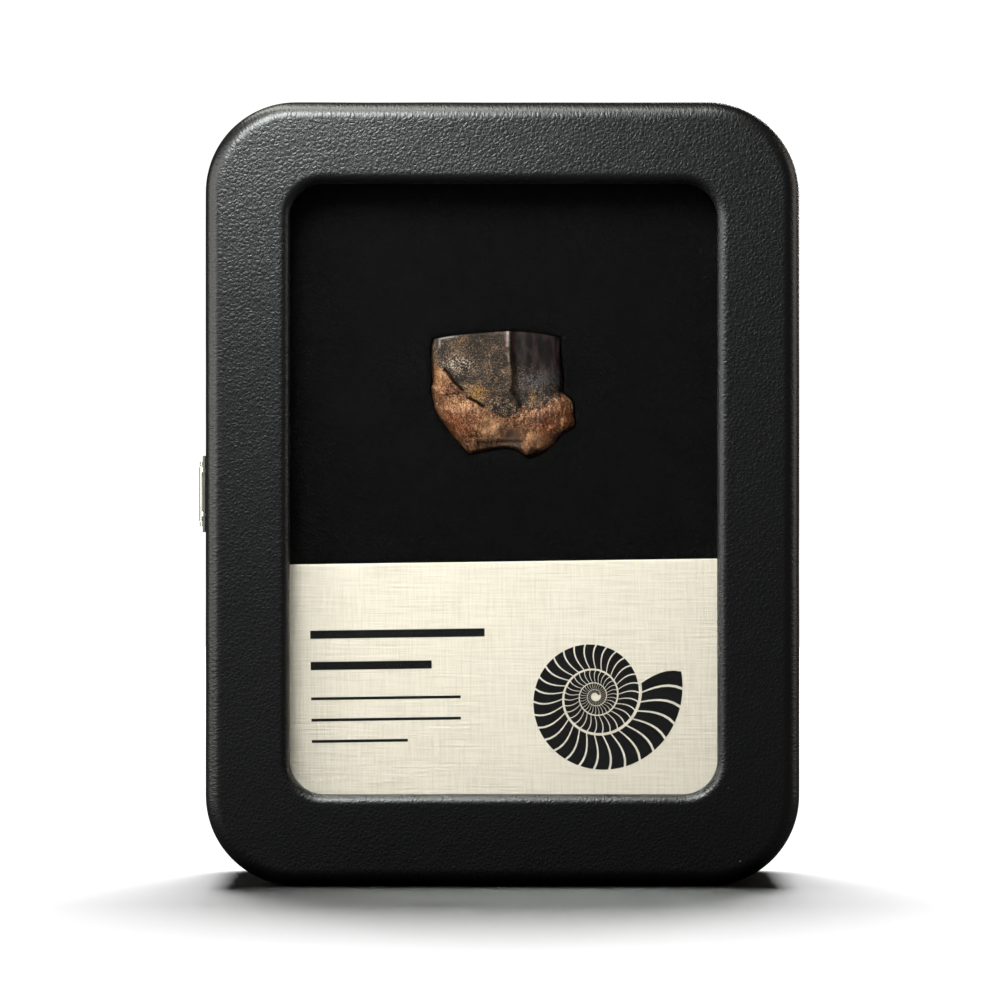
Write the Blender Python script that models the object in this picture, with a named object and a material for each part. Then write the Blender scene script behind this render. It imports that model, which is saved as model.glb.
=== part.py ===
"""A small hinged display case that holds a fossil tooth behind a glass window.

The case stands upright on its short end. Units are metres, +Z is up, the window faces -Y, and the
origin is on the face that the case stands on, below the middle of its width.
"""

import math

import bmesh
import bpy
import numpy as np
from mathutils import Matrix, Vector

MM = 0.001
GAP = 0.3 * MM

# The case, closed. Its width, height and depth are over the leatherette.
CASE_WIDTH = 83.0 * MM
CASE_HEIGHT = 109.5 * MM
CASE_DEPTH = 25.0 * MM
CASE_CORNER = 12.6 * MM
EDGE_ROUND = 2.4 * MM
RIM_ROUND = 1.3 * MM
SEAM_Y = -3.0 * MM
SEAM_GAP = 0.4 * MM
LID_WALL = 3.5 * MM
BASE_WALL = 4.0 * MM
BASE_FLOOR = 2.5 * MM

# The window in the lid. Its middle is a little above and right of the lid's own.
WINDOW_WIDTH = 59.8 * MM
WINDOW_HEIGHT = 85.2 * MM
WINDOW_CORNER = 4.8 * MM
WINDOW_SHIFT_X = 0.2 * MM
WINDOW_RISE = 0.7 * MM
WINDOW_ROUND = 1.2 * MM
LIP_THICKNESS = 1.5 * MM

# The pane behind the lip, and the frame that holds it there.
PANE_WIDTH = 68.0 * MM
PANE_HEIGHT = 94.0 * MM
PANE_THICKNESS = 1.6 * MM
PANE_CORNER = 2.0 * MM
RETAINER_OPENING_WIDTH = 65.0 * MM
RETAINER_OPENING_HEIGHT = 91.0 * MM
RETAINER_BACK = 0.7 * MM

# The foam that fills the base, and the paper label on it.
FOAM_FRONT_Y = -6.6 * MM
FOAM_EDGE_ROUND = 0.6 * MM
LABEL_WIDTH = 62.0 * MM
LABEL_HEIGHT = 35.0 * MM
LABEL_THICKNESS = 0.4 * MM
LABEL_CENTRE_X = -0.4 * MM
LABEL_TOP_BELOW_MIDDLE = 9.5 * MM
LABEL_TILT = math.radians(0.8)

# The tooth, in mm from its own centre, seen from the front. The four edges of its outline meet at its
# corners, and the enamel ends above the root along one more line.
TOOTH_CENTRE_X = 0.1 * MM
TOOTH_ABOVE_MIDDLE = 14.0 * MM
TOOTH_PLANE_Y = -5.0 * MM
TOOTH_TOP_MM = [
    (-9.9, 7.75), (-8.2, 8.05), (-5.4, 8.4), (-2.5, 8.6), (0.5, 8.8), (3.5, 8.7), (5.8, 8.4), (8.0, 8.0),
]
TOOTH_RIGHT_MM = [
    (7.3, -6.7), (8.5, -5.4), (9.8, -4.8), (10.2, -4.0), (9.9, -3.2), (10.0, -1.8), (9.6, -0.9),
    (8.6, 0.3), (8.5, 1.9), (8.25, 4.4), (8.1, 6.6), (8.0, 8.0),
]
TOOTH_BOTTOM_MM = [
    (-5.6, -7.6), (-4.6, -8.4), (-3.9, -8.3), (-1.9, -7.9), (0.2, -7.6), (1.6, -7.7), (2.5, -8.2),
    (3.5, -8.9), (4.9, -8.5), (6.3, -7.7), (7.3, -6.7),
]
TOOTH_LEFT_MM = [
    (-5.6, -7.6), (-7.1, -5.7), (-8.6, -3.8), (-9.4, -2.5), (-9.8, -0.9), (-10.2, 0.4), (-10.0, 1.9),
    (-10.05, 4.2), (-10.2, 5.8), (-9.9, 7.75),
]
ENAMEL_EDGE_MM = [
    (-10.4, 4.8), (-8.4, 3.6), (-7.0, 1.8), (-5.6, 0.1), (-3.0, -1.9), (0.3, -3.4), (2.7, -2.2),
    (4.1, -1.9), (6.1, -1.1), (7.3, -0.2), (10.4, 0.6),
]
TOOTH_EDGE_FRONT_MM = 0.9
TOOTH_EDGE_BACK_MM = 1.3
TOOTH_FRONT_MM = 2.7
TOOTH_BACK_MM = 4.4
TOOTH_EDGE_INSET = 0.05
WEAR_DROP_MM = 2.6
RIDGE_SIDE = 0.2
RIDGE_WIDTH = 0.08
GROOVE_SIDE = 0.335
GROOVE_WIDTH = 0.08
TOOTH_COLUMNS = 30
TOOTH_ROWS = 26
TOOTH_LAYERS = 5
POCKET_GAP = 0.5 * MM

# The two barrel hinges in the right side, and how their pins and leaves are cut.
HINGE_LENGTH = 16.0 * MM
HINGE_FROM_MIDDLE = 27.0 * MM
HINGE_BARREL = 0.8 * MM
HINGE_BORE = 0.46 * MM
HINGE_PIN = 0.34 * MM
HINGE_LEAF = 0.4 * MM
HINGE_LEAF_DEPTH = 4.6 * MM
KNUCKLE_GAP = 0.2 * MM

# The latch in the middle of the left side.
LATCH_LENGTH = 10.7 * MM
LATCH_PLATE = 0.3 * MM
LATCH_STANDS_OFF = 0.15 * MM
LATCH_AXIS_OUT = 0.72 * MM
LATCH_AXIS_Y = -5.2 * MM
LATCH_BARREL = 0.58 * MM
LATCH_BORE = 0.34 * MM
LATCH_PIN = 0.24 * MM
LATCH_TAB_LENGTH = 7.6 * MM
LATCH_TAB_END_Y = 4.4 * MM
LATCH_TAB = 0.36 * MM
CATCH_HALF_LENGTH = 4.5 * MM
CATCH_NUB = 0.28 * MM
RIVET_HEAD = 0.65 * MM
RIVET_SHANK = 0.35 * MM
RIVET_HEAD_HEIGHT = 0.2 * MM
RIVET_LENGTH = 2.2 * MM

MIDDLE_Z = CASE_HEIGHT / 2
FRONT_Y = -CASE_DEPTH / 2
BACK_Y = CASE_DEPTH / 2
LID_RIM_Y = SEAM_Y - SEAM_GAP / 2
BASE_RIM_Y = SEAM_Y + SEAM_GAP / 2
LIP_BACK_Y = FRONT_Y + LIP_THICKNESS
PANE_FRONT_Y = LIP_BACK_Y + GAP
PANE_BACK_Y = PANE_FRONT_Y + PANE_THICKNESS
SIDE_X = CASE_WIDTH / 2


def clear_scene():
    for obj in list(bpy.data.objects):
        bpy.data.objects.remove(obj, do_unlink=True)


def collection(name):
    made = bpy.data.collections.new(name)
    bpy.context.scene.collection.children.link(made)
    return made


def material(name, colour, roughness, metallic=0.0, transmission=0.0):
    made = bpy.data.materials.new(name)
    made.use_nodes = True
    shader = made.node_tree.nodes["Principled BSDF"]
    shader.inputs["Base Color"].default_value = (*colour, 1.0)
    shader.inputs["Roughness"].default_value = roughness
    shader.inputs["Metallic"].default_value = metallic
    shader.inputs["Transmission Weight"].default_value = transmission
    return made


def add_object(name, mesh, where, finish=None):
    obj = bpy.data.objects.new(name, mesh)
    where.objects.link(obj)
    if finish is not None:
        obj.data.materials.clear()
        obj.data.materials.append(finish)
    return obj


def bake_modifiers(obj):
    """Puts the shape that the modifiers make into the object's own mesh."""
    graph = bpy.context.evaluated_depsgraph_get()
    shaped = bpy.data.meshes.new_from_object(obj.evaluated_get(graph))
    obj.modifiers.clear()
    obj.data = shaped


def boolean(target, other, operation, cutters):
    """Cuts or joins another solid, which is kept as a hidden helper."""
    for helper in list(other.users_collection):
        helper.objects.unlink(other)
    cutters.objects.link(other)
    other.hide_render = True
    other.display_type = "WIRE"
    change = target.modifiers.new(operation.title(), "BOOLEAN")
    change.operation = operation
    change.object = other
    bpy.context.view_layer.update()
    bake_modifiers(target)


def shade_by_angle(obj, degrees=35):
    obj.data.shade_smooth()
    obj.data.set_sharp_from_angle(angle=math.radians(degrees))


def rounded_outline(width, height, corner, steps):
    """A rectangle with round corners, as points round its middle."""
    points = []
    for quarter, (side_x, side_y) in enumerate([(1, 1), (-1, 1), (-1, -1), (1, -1)]):
        centre_x = side_x * (width / 2 - corner)
        centre_y = side_y * (height / 2 - corner)
        for step in range(steps + 1):
            angle = math.radians(90 * (quarter + step / steps))
            points.append((centre_x + corner * math.cos(angle), centre_y + corner * math.sin(angle)))
    return points


def slab(name, outline, low, high, turn, where, finish=None):
    """A flat outline, extruded from low to high along its own normal, then turned into place."""
    curve = bpy.data.curves.new(name, "CURVE")
    curve.dimensions = "2D"
    curve.fill_mode = "BOTH"
    curve.extrude = (high - low) / 2
    spline = curve.splines.new("POLY")
    spline.points.add(len(outline) - 1)
    for point, (x, y) in zip(spline.points, outline):
        point.co = (x, y, 0.0, 1.0)
    spline.use_cyclic_u = True
    flat = add_object(name + "_outline", curve, where)
    graph = bpy.context.evaluated_depsgraph_get()
    mesh = bpy.data.meshes.new_from_object(flat.evaluated_get(graph))
    bpy.data.objects.remove(flat)
    mesh.transform(turn @ Matrix.Translation((0, 0, (low + high) / 2)))
    shape = bmesh.new()
    shape.from_mesh(mesh)
    bmesh.ops.remove_doubles(shape, verts=shape.verts, dist=1e-6)
    bmesh.ops.dissolve_limit(
        shape, angle_limit=math.radians(0.5), verts=shape.verts, edges=shape.edges
    )
    bmesh.ops.recalc_face_normals(shape, faces=shape.faces)
    shape.to_mesh(mesh)
    shape.free()
    mesh.name = name
    return add_object(name, mesh, where, finish)


def facing_front(x=0.0, z=0.0, tilt=0.0):
    """Stands a flat outline up in the XZ plane, with its normal towards the back of the case."""
    stand = Matrix(((1, 0, 0, 0), (0, 0, 1, 0), (0, 1, 0, 0), (0, 0, 0, 1)))
    return Matrix.Translation((x, 0, z)) @ Matrix.Rotation(-tilt, 4, "Y") @ stand


def case_slab(name, inset, y_low, y_high, where, finish=None, steps=8):
    """A slab with the outline of the case, smaller by the inset on every side."""
    outline = rounded_outline(
        CASE_WIDTH - 2 * inset, CASE_HEIGHT - 2 * inset, CASE_CORNER - inset, steps
    )
    return slab(name, outline, y_low, y_high, facing_front(z=MIDDLE_Z), where, finish)


def round_loop(obj, y, radius, segments, inside=None):
    """Rounds the sharp edges that lie in the plane y. With inside, only those within that half size."""
    shape = bmesh.new()
    shape.from_mesh(obj.data)
    edges = []
    for edge in shape.edges:
        if any(abs(v.co.y - y) > 1e-5 for v in edge.verts) or edge.calc_face_angle(0) < 0.5:
            continue
        middle = (edge.verts[0].co + edge.verts[1].co) / 2
        reach = inside is None or (
            abs(middle.x) < inside[0] and abs(middle.z - MIDDLE_Z) < inside[1]
        )
        if reach:
            edges.append(edge)
    bmesh.ops.bevel(
        shape, geom=edges, offset=radius, segments=segments, profile=0.5, affect="EDGES"
    )
    shape.to_mesh(obj.data)
    shape.free()


def rod(name, radius, start, end, where, finish=None, sides=16):
    """A round bar between two points."""
    start, end = Vector(start), Vector(end)
    length = (end - start).length
    facing = (end - start).to_track_quat("Z", "Y").to_matrix().to_4x4()
    shape = bmesh.new()
    bmesh.ops.create_cone(
        shape,
        cap_ends=True,
        segments=sides,
        radius1=radius,
        radius2=radius,
        depth=length,
        matrix=Matrix.Translation((start + end) / 2) @ facing,
    )
    mesh = bpy.data.meshes.new(name)
    shape.to_mesh(mesh)
    shape.free()
    return add_object(name, mesh, where, finish)


def block(name, low, high, where, finish=None):
    """A box between its lowest and highest corners."""
    low, high = Vector(low), Vector(high)
    shape = bmesh.new()
    bmesh.ops.create_cube(
        shape,
        size=1.0,
        matrix=Matrix.Translation((low + high) / 2) @ Matrix.Diagonal((*(high - low), 1.0)),
    )
    mesh = bpy.data.meshes.new(name)
    shape.to_mesh(mesh)
    shape.free()
    return add_object(name, mesh, where, finish)


def make_base(parts, cutters, finish):
    """The tray: a rounded box, hollow from its rim to its floor."""
    base = case_slab("case_base", 0.0, BASE_RIM_Y, BACK_Y, parts, finish)
    round_loop(base, BACK_Y, EDGE_ROUND, 4)
    round_loop(base, BASE_RIM_Y, RIM_ROUND, 3)
    hollow = case_slab("base_hollow", BASE_WALL, BASE_RIM_Y - 1 * MM, BACK_Y - BASE_FLOOR, cutters)
    boolean(base, hollow, "DIFFERENCE", cutters)
    return base


def make_lid(parts, cutters, finish):
    """The lid: a shallow rounded box with the window in its face and a lip round the window."""
    lid = case_slab("case_lid", 0.0, FRONT_Y, LID_RIM_Y, parts, finish)
    round_loop(lid, FRONT_Y, EDGE_ROUND, 4)
    round_loop(lid, LID_RIM_Y, RIM_ROUND, 3)
    hollow = case_slab("lid_hollow", LID_WALL, LIP_BACK_Y, LID_RIM_Y + 1 * MM, cutters)
    boolean(lid, hollow, "DIFFERENCE", cutters)
    window = slab(
        "window_cut",
        rounded_outline(WINDOW_WIDTH, WINDOW_HEIGHT, WINDOW_CORNER, 6),
        FRONT_Y - 1 * MM,
        LIP_BACK_Y + 1 * MM,
        facing_front(WINDOW_SHIFT_X, MIDDLE_Z + WINDOW_RISE),
        cutters,
    )
    boolean(lid, window, "DIFFERENCE", cutters)
    around_window = (WINDOW_WIDTH / 2 + 1 * MM, WINDOW_HEIGHT / 2 + 1.5 * MM)
    round_loop(lid, FRONT_Y, WINDOW_ROUND, 3, inside=around_window)
    return lid


def make_pane(parts, finish):
    return slab(
        "window_glass",
        rounded_outline(PANE_WIDTH, PANE_HEIGHT, PANE_CORNER, 3),
        PANE_FRONT_Y,
        PANE_BACK_Y,
        facing_front(z=MIDDLE_Z),
        parts,
        finish,
    )


def make_retainer(parts, cutters, finish):
    """The frame behind the pane, with a rebate that the pane sits in."""
    back_y = PANE_BACK_Y + RETAINER_BACK
    frame = case_slab("glass_retainer", LID_WALL + GAP, PANE_FRONT_Y, back_y, parts, finish, 6)
    rebate = slab(
        "rebate_cut",
        rounded_outline(PANE_WIDTH + 2 * GAP, PANE_HEIGHT + 2 * GAP, PANE_CORNER, 3),
        PANE_FRONT_Y - 1 * MM,
        PANE_BACK_Y + GAP,
        facing_front(z=MIDDLE_Z),
        cutters,
    )
    boolean(frame, rebate, "DIFFERENCE", cutters)
    opening = slab(
        "opening_cut",
        rounded_outline(RETAINER_OPENING_WIDTH, RETAINER_OPENING_HEIGHT, WINDOW_CORNER, 4),
        PANE_FRONT_Y - 1 * MM,
        back_y + 1 * MM,
        facing_front(z=MIDDLE_Z),
        cutters,
    )
    boolean(frame, opening, "DIFFERENCE", cutters)
    return frame


def along(line, share):
    """The point at this share of the way along a line of points."""
    points = np.array(line)
    steps = np.hypot(*np.diff(points, axis=0).T)
    reached = np.concatenate([[0.0], np.cumsum(steps)]) / steps.sum()
    return np.array([np.interp(share, reached, points[:, axis]) for axis in (0, 1)])


def inside_outline(s, t):
    """Spreads a square, 0 to 1 each way, over the tooth's outline, edge to edge."""
    across = (1 - t) * along(TOOTH_BOTTOM_MM, s) + t * along(TOOTH_TOP_MM, s)
    up = (1 - s) * along(TOOTH_LEFT_MM, t) + s * along(TOOTH_RIGHT_MM, t)
    corners = (1 - t) * ((1 - s) * along(TOOTH_BOTTOM_MM, 0) + s * along(TOOTH_BOTTOM_MM, 1))
    corners += t * ((1 - s) * along(TOOTH_TOP_MM, 0) + s * along(TOOTH_TOP_MM, 1))
    return across + up - corners


def hump(u, w, centre, width):
    """A round rise of height 1, in two directions of their own widths."""
    return math.exp(-(((u - centre[0]) / width[0]) ** 2) - ((w - centre[1]) / width[1]) ** 2)


def smooth(value, low, high):
    """Goes smoothly from 0 at low to 1 at high."""
    share = min(max((value - low) / (high - low), 0.0), 1.0)
    return share * share * (3 - 2 * share)


def front_relief(u, w, side):
    """What the tooth's face has on top of its plain dome, in mm: the median ridge and the groove on
    its right, the hollow of each half of the crown, the root's raised edge on the left with the cleft
    above it, the two root lobes and the saddle between them."""
    above = w - float(np.interp(u, *np.array(ENAMEL_EDGE_MM).T))
    crown = smooth(above, -0.4, 1.6)
    rising = smooth(w, -3.2, 5.0)
    ridge = (0.3 + 0.7 * rising) * math.exp(-(((side - RIDGE_SIDE) / RIDGE_WIDTH) ** 2)) * crown
    groove = 0.4 * rising * math.exp(-(((side - GROOVE_SIDE) / GROOVE_WIDTH) ** 2)) * crown
    halves = 0.35 * (hump(u, w, (-4.6, 4.0), (2.6, 3.8)) + hump(u, w, (4.8, 4.4), (2.2, 3.6)))
    left = 1 - smooth(u, -3.0, -0.8)
    step = 0.5 * left * (1 - smooth(above, -0.3, 0.3)) * smooth(above, -4.0, -0.8)
    cleft = 0.45 * left * math.exp(-(((above - 0.35) / 0.4) ** 2))
    lobes = 0.6 * hump(u, w, (-5.2, -3.4), (3.2, 2.4)) + 0.7 * hump(u, w, (5.8, -4.0), (2.8, 2.4))
    saddle = 1.2 * hump(u, w, (1.1, -6.6), (1.8, 2.2))
    return ridge - groove - halves + step - cleft + lobes - saddle


def make_tooth(parts, finish):
    """A block with a fine net on it, spread over the tooth's outline: its face takes the relief, its
    back is a plain bulge with a hollow below, and its top slopes down behind the worn edge."""
    shape = bmesh.new()
    bmesh.ops.create_cube(shape, size=2.0)
    for axis, count in enumerate((TOOTH_COLUMNS, TOOTH_LAYERS, TOOTH_ROWS)):
        lines = [
            edge
            for edge in shape.edges
            if abs(edge.verts[0].co[axis] - edge.verts[1].co[axis]) > 1.9
        ]
        bmesh.ops.subdivide_edges(shape, edges=lines, cuts=count - 1, use_grid_fill=True)
    for vertex in shape.verts:
        side, layer, up = vertex.co
        u, w = inside_outline((side + 1) / 2, (up + 1) / 2)
        inset = 1 - TOOTH_EDGE_INSET * layer * layer * (1 - smooth(up, 0.4, 1.0))
        u, w = u * inset, w * inset
        round_side = max(0.0, 1 - abs(side) ** 3) ** 0.6
        round_foot = max(0.0, 1 - max(0.0, -up) ** 3) ** 0.6
        bulge = round_side * round_foot
        front = TOOTH_EDGE_FRONT_MM + (TOOTH_FRONT_MM - TOOTH_EDGE_FRONT_MM) * bulge
        back = TOOTH_EDGE_BACK_MM + (TOOTH_BACK_MM - TOOTH_EDGE_BACK_MM) * bulge
        if layer < -0.999:
            front += front_relief(u, w, side) * (1 - abs(side) ** 8) * (1 - max(0.0, -up) ** 8)
        if layer > 0.999:
            back -= 1.5 * hump(u, w, (0.0, -3.0), (4.2, 3.6)) * bulge
        share = (layer + 1) / 2
        depth = back * share - front * (1 - share)
        w -= WEAR_DROP_MM * share * smooth(up, 0.2, 1.0)
        vertex.co = Vector((u, depth, w)) * MM
    bmesh.ops.recalc_face_normals(shape, faces=shape.faces)
    place = Vector((TOOTH_CENTRE_X, TOOTH_PLANE_Y, MIDDLE_Z + TOOTH_ABOVE_MIDDLE))
    bmesh.ops.translate(shape, verts=shape.verts, vec=place)
    mesh = bpy.data.meshes.new("fossil_tooth")
    shape.to_mesh(mesh)
    shape.free()
    return add_object("fossil_tooth", mesh, parts, finish)


def make_foam(parts, cutters, finish):
    """The foam block, with a pocket of the tooth's outline."""
    inset = BASE_WALL + GAP
    foam = case_slab("foam_pad", inset, FOAM_FRONT_Y, BACK_Y - BASE_FLOOR - GAP, parts, finish, 6)
    round_loop(foam, FOAM_FRONT_Y, FOAM_EDGE_ROUND, 2)
    edges = (TOOTH_BOTTOM_MM, TOOTH_RIGHT_MM, TOOTH_TOP_MM[::-1], TOOTH_LEFT_MM[::-1])
    outline = []
    for edge in edges:
        for share in np.arange(0, 1, 1 / 8):
            point = Vector(along(edge, share)) * MM
            outline.append(tuple(point + point.normalized() * POCKET_GAP))
    pocket = slab(
        "pocket_cut",
        outline,
        FOAM_FRONT_Y - 1 * MM,
        TOOTH_PLANE_Y + TOOTH_BACK_MM * MM + GAP,
        facing_front(TOOTH_CENTRE_X, MIDDLE_Z + TOOTH_ABOVE_MIDDLE),
        cutters,
    )
    boolean(foam, pocket, "DIFFERENCE", cutters)
    return foam


def make_label(parts, finish):
    back_y = FOAM_FRONT_Y - GAP
    middle_z = MIDDLE_Z - LABEL_TOP_BELOW_MIDDLE - LABEL_HEIGHT / 2
    return slab(
        "label_card",
        rounded_outline(LABEL_WIDTH, LABEL_HEIGHT, 0.4 * MM, 2),
        back_y - LABEL_THICKNESS,
        back_y,
        facing_front(LABEL_CENTRE_X, middle_z, LABEL_TILT),
        parts,
        finish,
    )


def make_hinge(name, centre_z, halves, parts, cutters, finish):
    """A barrel hinge: each leaf is let into a slot in a rim, and its knuckles turn on a loose pin."""
    lid, base = halves
    axis_x = SIDE_X - HINGE_BARREL
    low_z, high_z = centre_z - HINGE_LENGTH / 2, centre_z + HINGE_LENGTH / 2
    third = HINGE_LENGTH / 3
    leaf_x = axis_x - HINGE_BARREL + HINGE_LEAF
    for half, side, spans in (
        (lid, -1, [(low_z + third + KNUCKLE_GAP, high_z - third - KNUCKLE_GAP)]),
        (base, 1, [(low_z, low_z + third), (high_z - third, high_z)]),
    ):
        clear = GAP / 2
        near_y = SEAM_Y + side * (HINGE_BARREL + GAP)
        far_y = SEAM_Y + side * HINGE_LEAF_DEPTH
        slot = block(
            f"{name}_slot_cut",
            (leaf_x - HINGE_LEAF - clear, min(SEAM_Y, far_y + side * clear), low_z - clear),
            (leaf_x + clear, max(SEAM_Y, far_y + side * clear), high_z + clear),
            cutters,
        )
        boolean(half, slot, "DIFFERENCE", cutters)
        leaf = block(
            f"{name}_{'lid' if side < 0 else 'base'}_leaf",
            (leaf_x - HINGE_LEAF, min(near_y, far_y), low_z),
            (leaf_x, max(near_y, far_y), high_z),
            parts,
            finish,
        )
        for start, end in spans:
            foot = block(
                "leaf_foot",
                (leaf_x - HINGE_LEAF, min(SEAM_Y, near_y + side * 0.4 * MM), start),
                (leaf_x, max(SEAM_Y, near_y + side * 0.4 * MM), end),
                cutters,
            )
            boolean(leaf, foot, "UNION", cutters)
            knuckle = rod(
                "knuckle", HINGE_BARREL, (axis_x, SEAM_Y, start), (axis_x, SEAM_Y, end), cutters
            )
            boolean(leaf, knuckle, "UNION", cutters)
        bore = rod(
            "hinge_bore",
            HINGE_BORE,
            (axis_x, SEAM_Y, low_z - 1 * MM),
            (axis_x, SEAM_Y, high_z + 1 * MM),
            cutters,
            sides=12,
        )
        boolean(leaf, bore, "DIFFERENCE", cutters)
        shade_by_angle(leaf)
    channel = rod(
        f"{name}_channel_cut",
        HINGE_BARREL + GAP,
        (axis_x, SEAM_Y, low_z - GAP / 2),
        (axis_x, SEAM_Y, high_z + GAP / 2),
        cutters,
        sides=20,
    )
    for half in halves:
        boolean(half, channel, "DIFFERENCE", cutters)
    pin = rod(
        f"{name}_pin",
        HINGE_PIN,
        (axis_x, SEAM_Y, low_z + 0.1 * MM),
        (axis_x, SEAM_Y, high_z - 0.1 * MM),
        parts,
        finish,
        sides=12,
    )
    shade_by_angle(pin)


def out_from_left(distance):
    """The X of a point this far out from the left side."""
    return -SIDE_X - distance


def make_rivet(name, y, z, plate, wall, seat, parts, cutters, finish):
    """A rivet through a plate into the wall behind it, each with a hole that clears its shank."""
    head_x = out_from_left(seat)
    hole = rod(
        f"{name}_hole_cut",
        RIVET_SHANK + GAP / 2,
        (out_from_left(1 * MM), y, z),
        (out_from_left(-RIVET_LENGTH - GAP), y, z),
        cutters,
        sides=10,
    )
    boolean(plate, hole, "DIFFERENCE", cutters)
    boolean(wall, hole, "DIFFERENCE", cutters)
    rivet = rod(
        name, RIVET_HEAD, (head_x, y, z), (head_x - RIVET_HEAD_HEIGHT, y, z), parts, finish, sides=12
    )
    shank = rod(
        "rivet_shank",
        RIVET_SHANK,
        (head_x - 0.1 * MM, y, z),
        (out_from_left(-RIVET_LENGTH), y, z),
        cutters,
        sides=10,
    )
    boolean(rivet, shank, "UNION", cutters)
    shade_by_angle(rivet)


def make_latch(lid, base, parts, cutters, finish):
    """The latch: a plate on the lid with two ears, a tab that turns on the pin between them, and a
    plate on the base with a nub that the tab lies over."""
    plate_top = LATCH_STANDS_OFF + LATCH_PLATE
    axis_x = out_from_left(LATCH_AXIS_OUT)
    half = LATCH_LENGTH / 2
    tab_half = LATCH_TAB_LENGTH / 2
    plate = block(
        "latch_plate",
        (out_from_left(plate_top), -9.6 * MM, MIDDLE_Z - half),
        (out_from_left(LATCH_STANDS_OFF), LATCH_AXIS_Y + 0.5 * MM, MIDDLE_Z + half),
        parts,
        finish,
    )
    for side in (-1, 1):
        inner = MIDDLE_Z + side * (tab_half + 0.15 * MM)
        outer = MIDDLE_Z + side * (tab_half + 0.75 * MM)
        ear = rod("ear", 0.5 * MM, (axis_x, LATCH_AXIS_Y, inner), (axis_x, LATCH_AXIS_Y, outer), cutters)
        boolean(plate, ear, "UNION", cutters)
        web = block(
            "ear_web",
            (axis_x, LATCH_AXIS_Y - 0.47 * MM, min(inner, outer)),
            (out_from_left(plate_top - 0.1 * MM), LATCH_AXIS_Y + 0.47 * MM, max(inner, outer)),
            cutters,
        )
        boolean(plate, web, "UNION", cutters)
    bore = rod(
        "latch_bore",
        LATCH_BORE,
        (axis_x, LATCH_AXIS_Y, MIDDLE_Z - half - 1 * MM),
        (axis_x, LATCH_AXIS_Y, MIDDLE_Z + half + 1 * MM),
        cutters,
        sides=12,
    )
    boolean(plate, bore, "DIFFERENCE", cutters)
    relief = block(
        "tab_relief",
        (out_from_left(2 * MM), LATCH_AXIS_Y - 0.9 * MM, MIDDLE_Z - tab_half - 0.15 * MM),
        (out_from_left(0.0), LATCH_AXIS_Y + 1.5 * MM, MIDDLE_Z + tab_half + 0.15 * MM),
        cutters,
    )
    boolean(plate, relief, "DIFFERENCE", cutters)

    tab_outer = LATCH_AXIS_OUT + LATCH_BARREL
    outline = rounded_outline(LATCH_TAB_END_Y - LATCH_AXIS_Y + 2 * MM, LATCH_TAB_LENGTH, 1.6 * MM, 4)
    outline = [(y + (LATCH_AXIS_Y + LATCH_TAB_END_Y - 2 * MM) / 2, z) for y, z in outline]
    sideways = Matrix(((0, 0, -1, 0), (1, 0, 0, 0), (0, 1, 0, 0), (0, 0, 0, 1)))
    tab = slab(
        "latch_tab",
        outline,
        SIDE_X + tab_outer - LATCH_TAB,
        SIDE_X + tab_outer,
        Matrix.Translation((0, 0, MIDDLE_Z)) @ sideways,
        parts,
        finish,
    )
    square = block(
        "tab_end_cut",
        (out_from_left(3 * MM), LATCH_AXIS_Y - 5 * MM, MIDDLE_Z - 6 * MM),
        (out_from_left(-1 * MM), LATCH_AXIS_Y, MIDDLE_Z + 6 * MM),
        cutters,
    )
    boolean(tab, square, "DIFFERENCE", cutters)
    ends = (MIDDLE_Z - tab_half, MIDDLE_Z + tab_half)
    barrel = rod(
        "latch_barrel",
        LATCH_BARREL,
        (axis_x, LATCH_AXIS_Y, ends[0]),
        (axis_x, LATCH_AXIS_Y, ends[1]),
        cutters,
    )
    boolean(tab, barrel, "UNION", cutters)
    boolean(tab, bore, "DIFFERENCE", cutters)
    shade_by_angle(tab)
    pin = rod(
        "latch_pin",
        LATCH_PIN,
        (axis_x, LATCH_AXIS_Y, ends[0] - 0.7 * MM),
        (axis_x, LATCH_AXIS_Y, ends[1] + 0.7 * MM),
        parts,
        finish,
        sides=10,
    )
    shade_by_angle(pin)

    catch = block(
        "catch_plate",
        (out_from_left(plate_top), -1.2 * MM, MIDDLE_Z - CATCH_HALF_LENGTH),
        (out_from_left(LATCH_STANDS_OFF), 5.4 * MM, MIDDLE_Z + CATCH_HALF_LENGTH),
        parts,
        finish,
    )
    nub = rod(
        "catch_nub",
        CATCH_NUB,
        (out_from_left(plate_top), 3.0 * MM, MIDDLE_Z - 1.4 * MM),
        (out_from_left(plate_top), 3.0 * MM, MIDDLE_Z + 1.4 * MM),
        cutters,
        sides=12,
    )
    boolean(catch, nub, "UNION", cutters)
    for word, side in (("lower", -1), ("upper", 1)):
        z = MIDDLE_Z + side * 3.1 * MM
        seat = plate_top + 0.03 * MM
        make_rivet(f"lid_rivet_{word}", -7.9 * MM, z, plate, lid, seat, parts, cutters, finish)
        make_rivet(f"base_rivet_{word}", 0.7 * MM, z, catch, base, seat, parts, cutters, finish)
    shade_by_angle(plate)
    shade_by_angle(catch)


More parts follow.
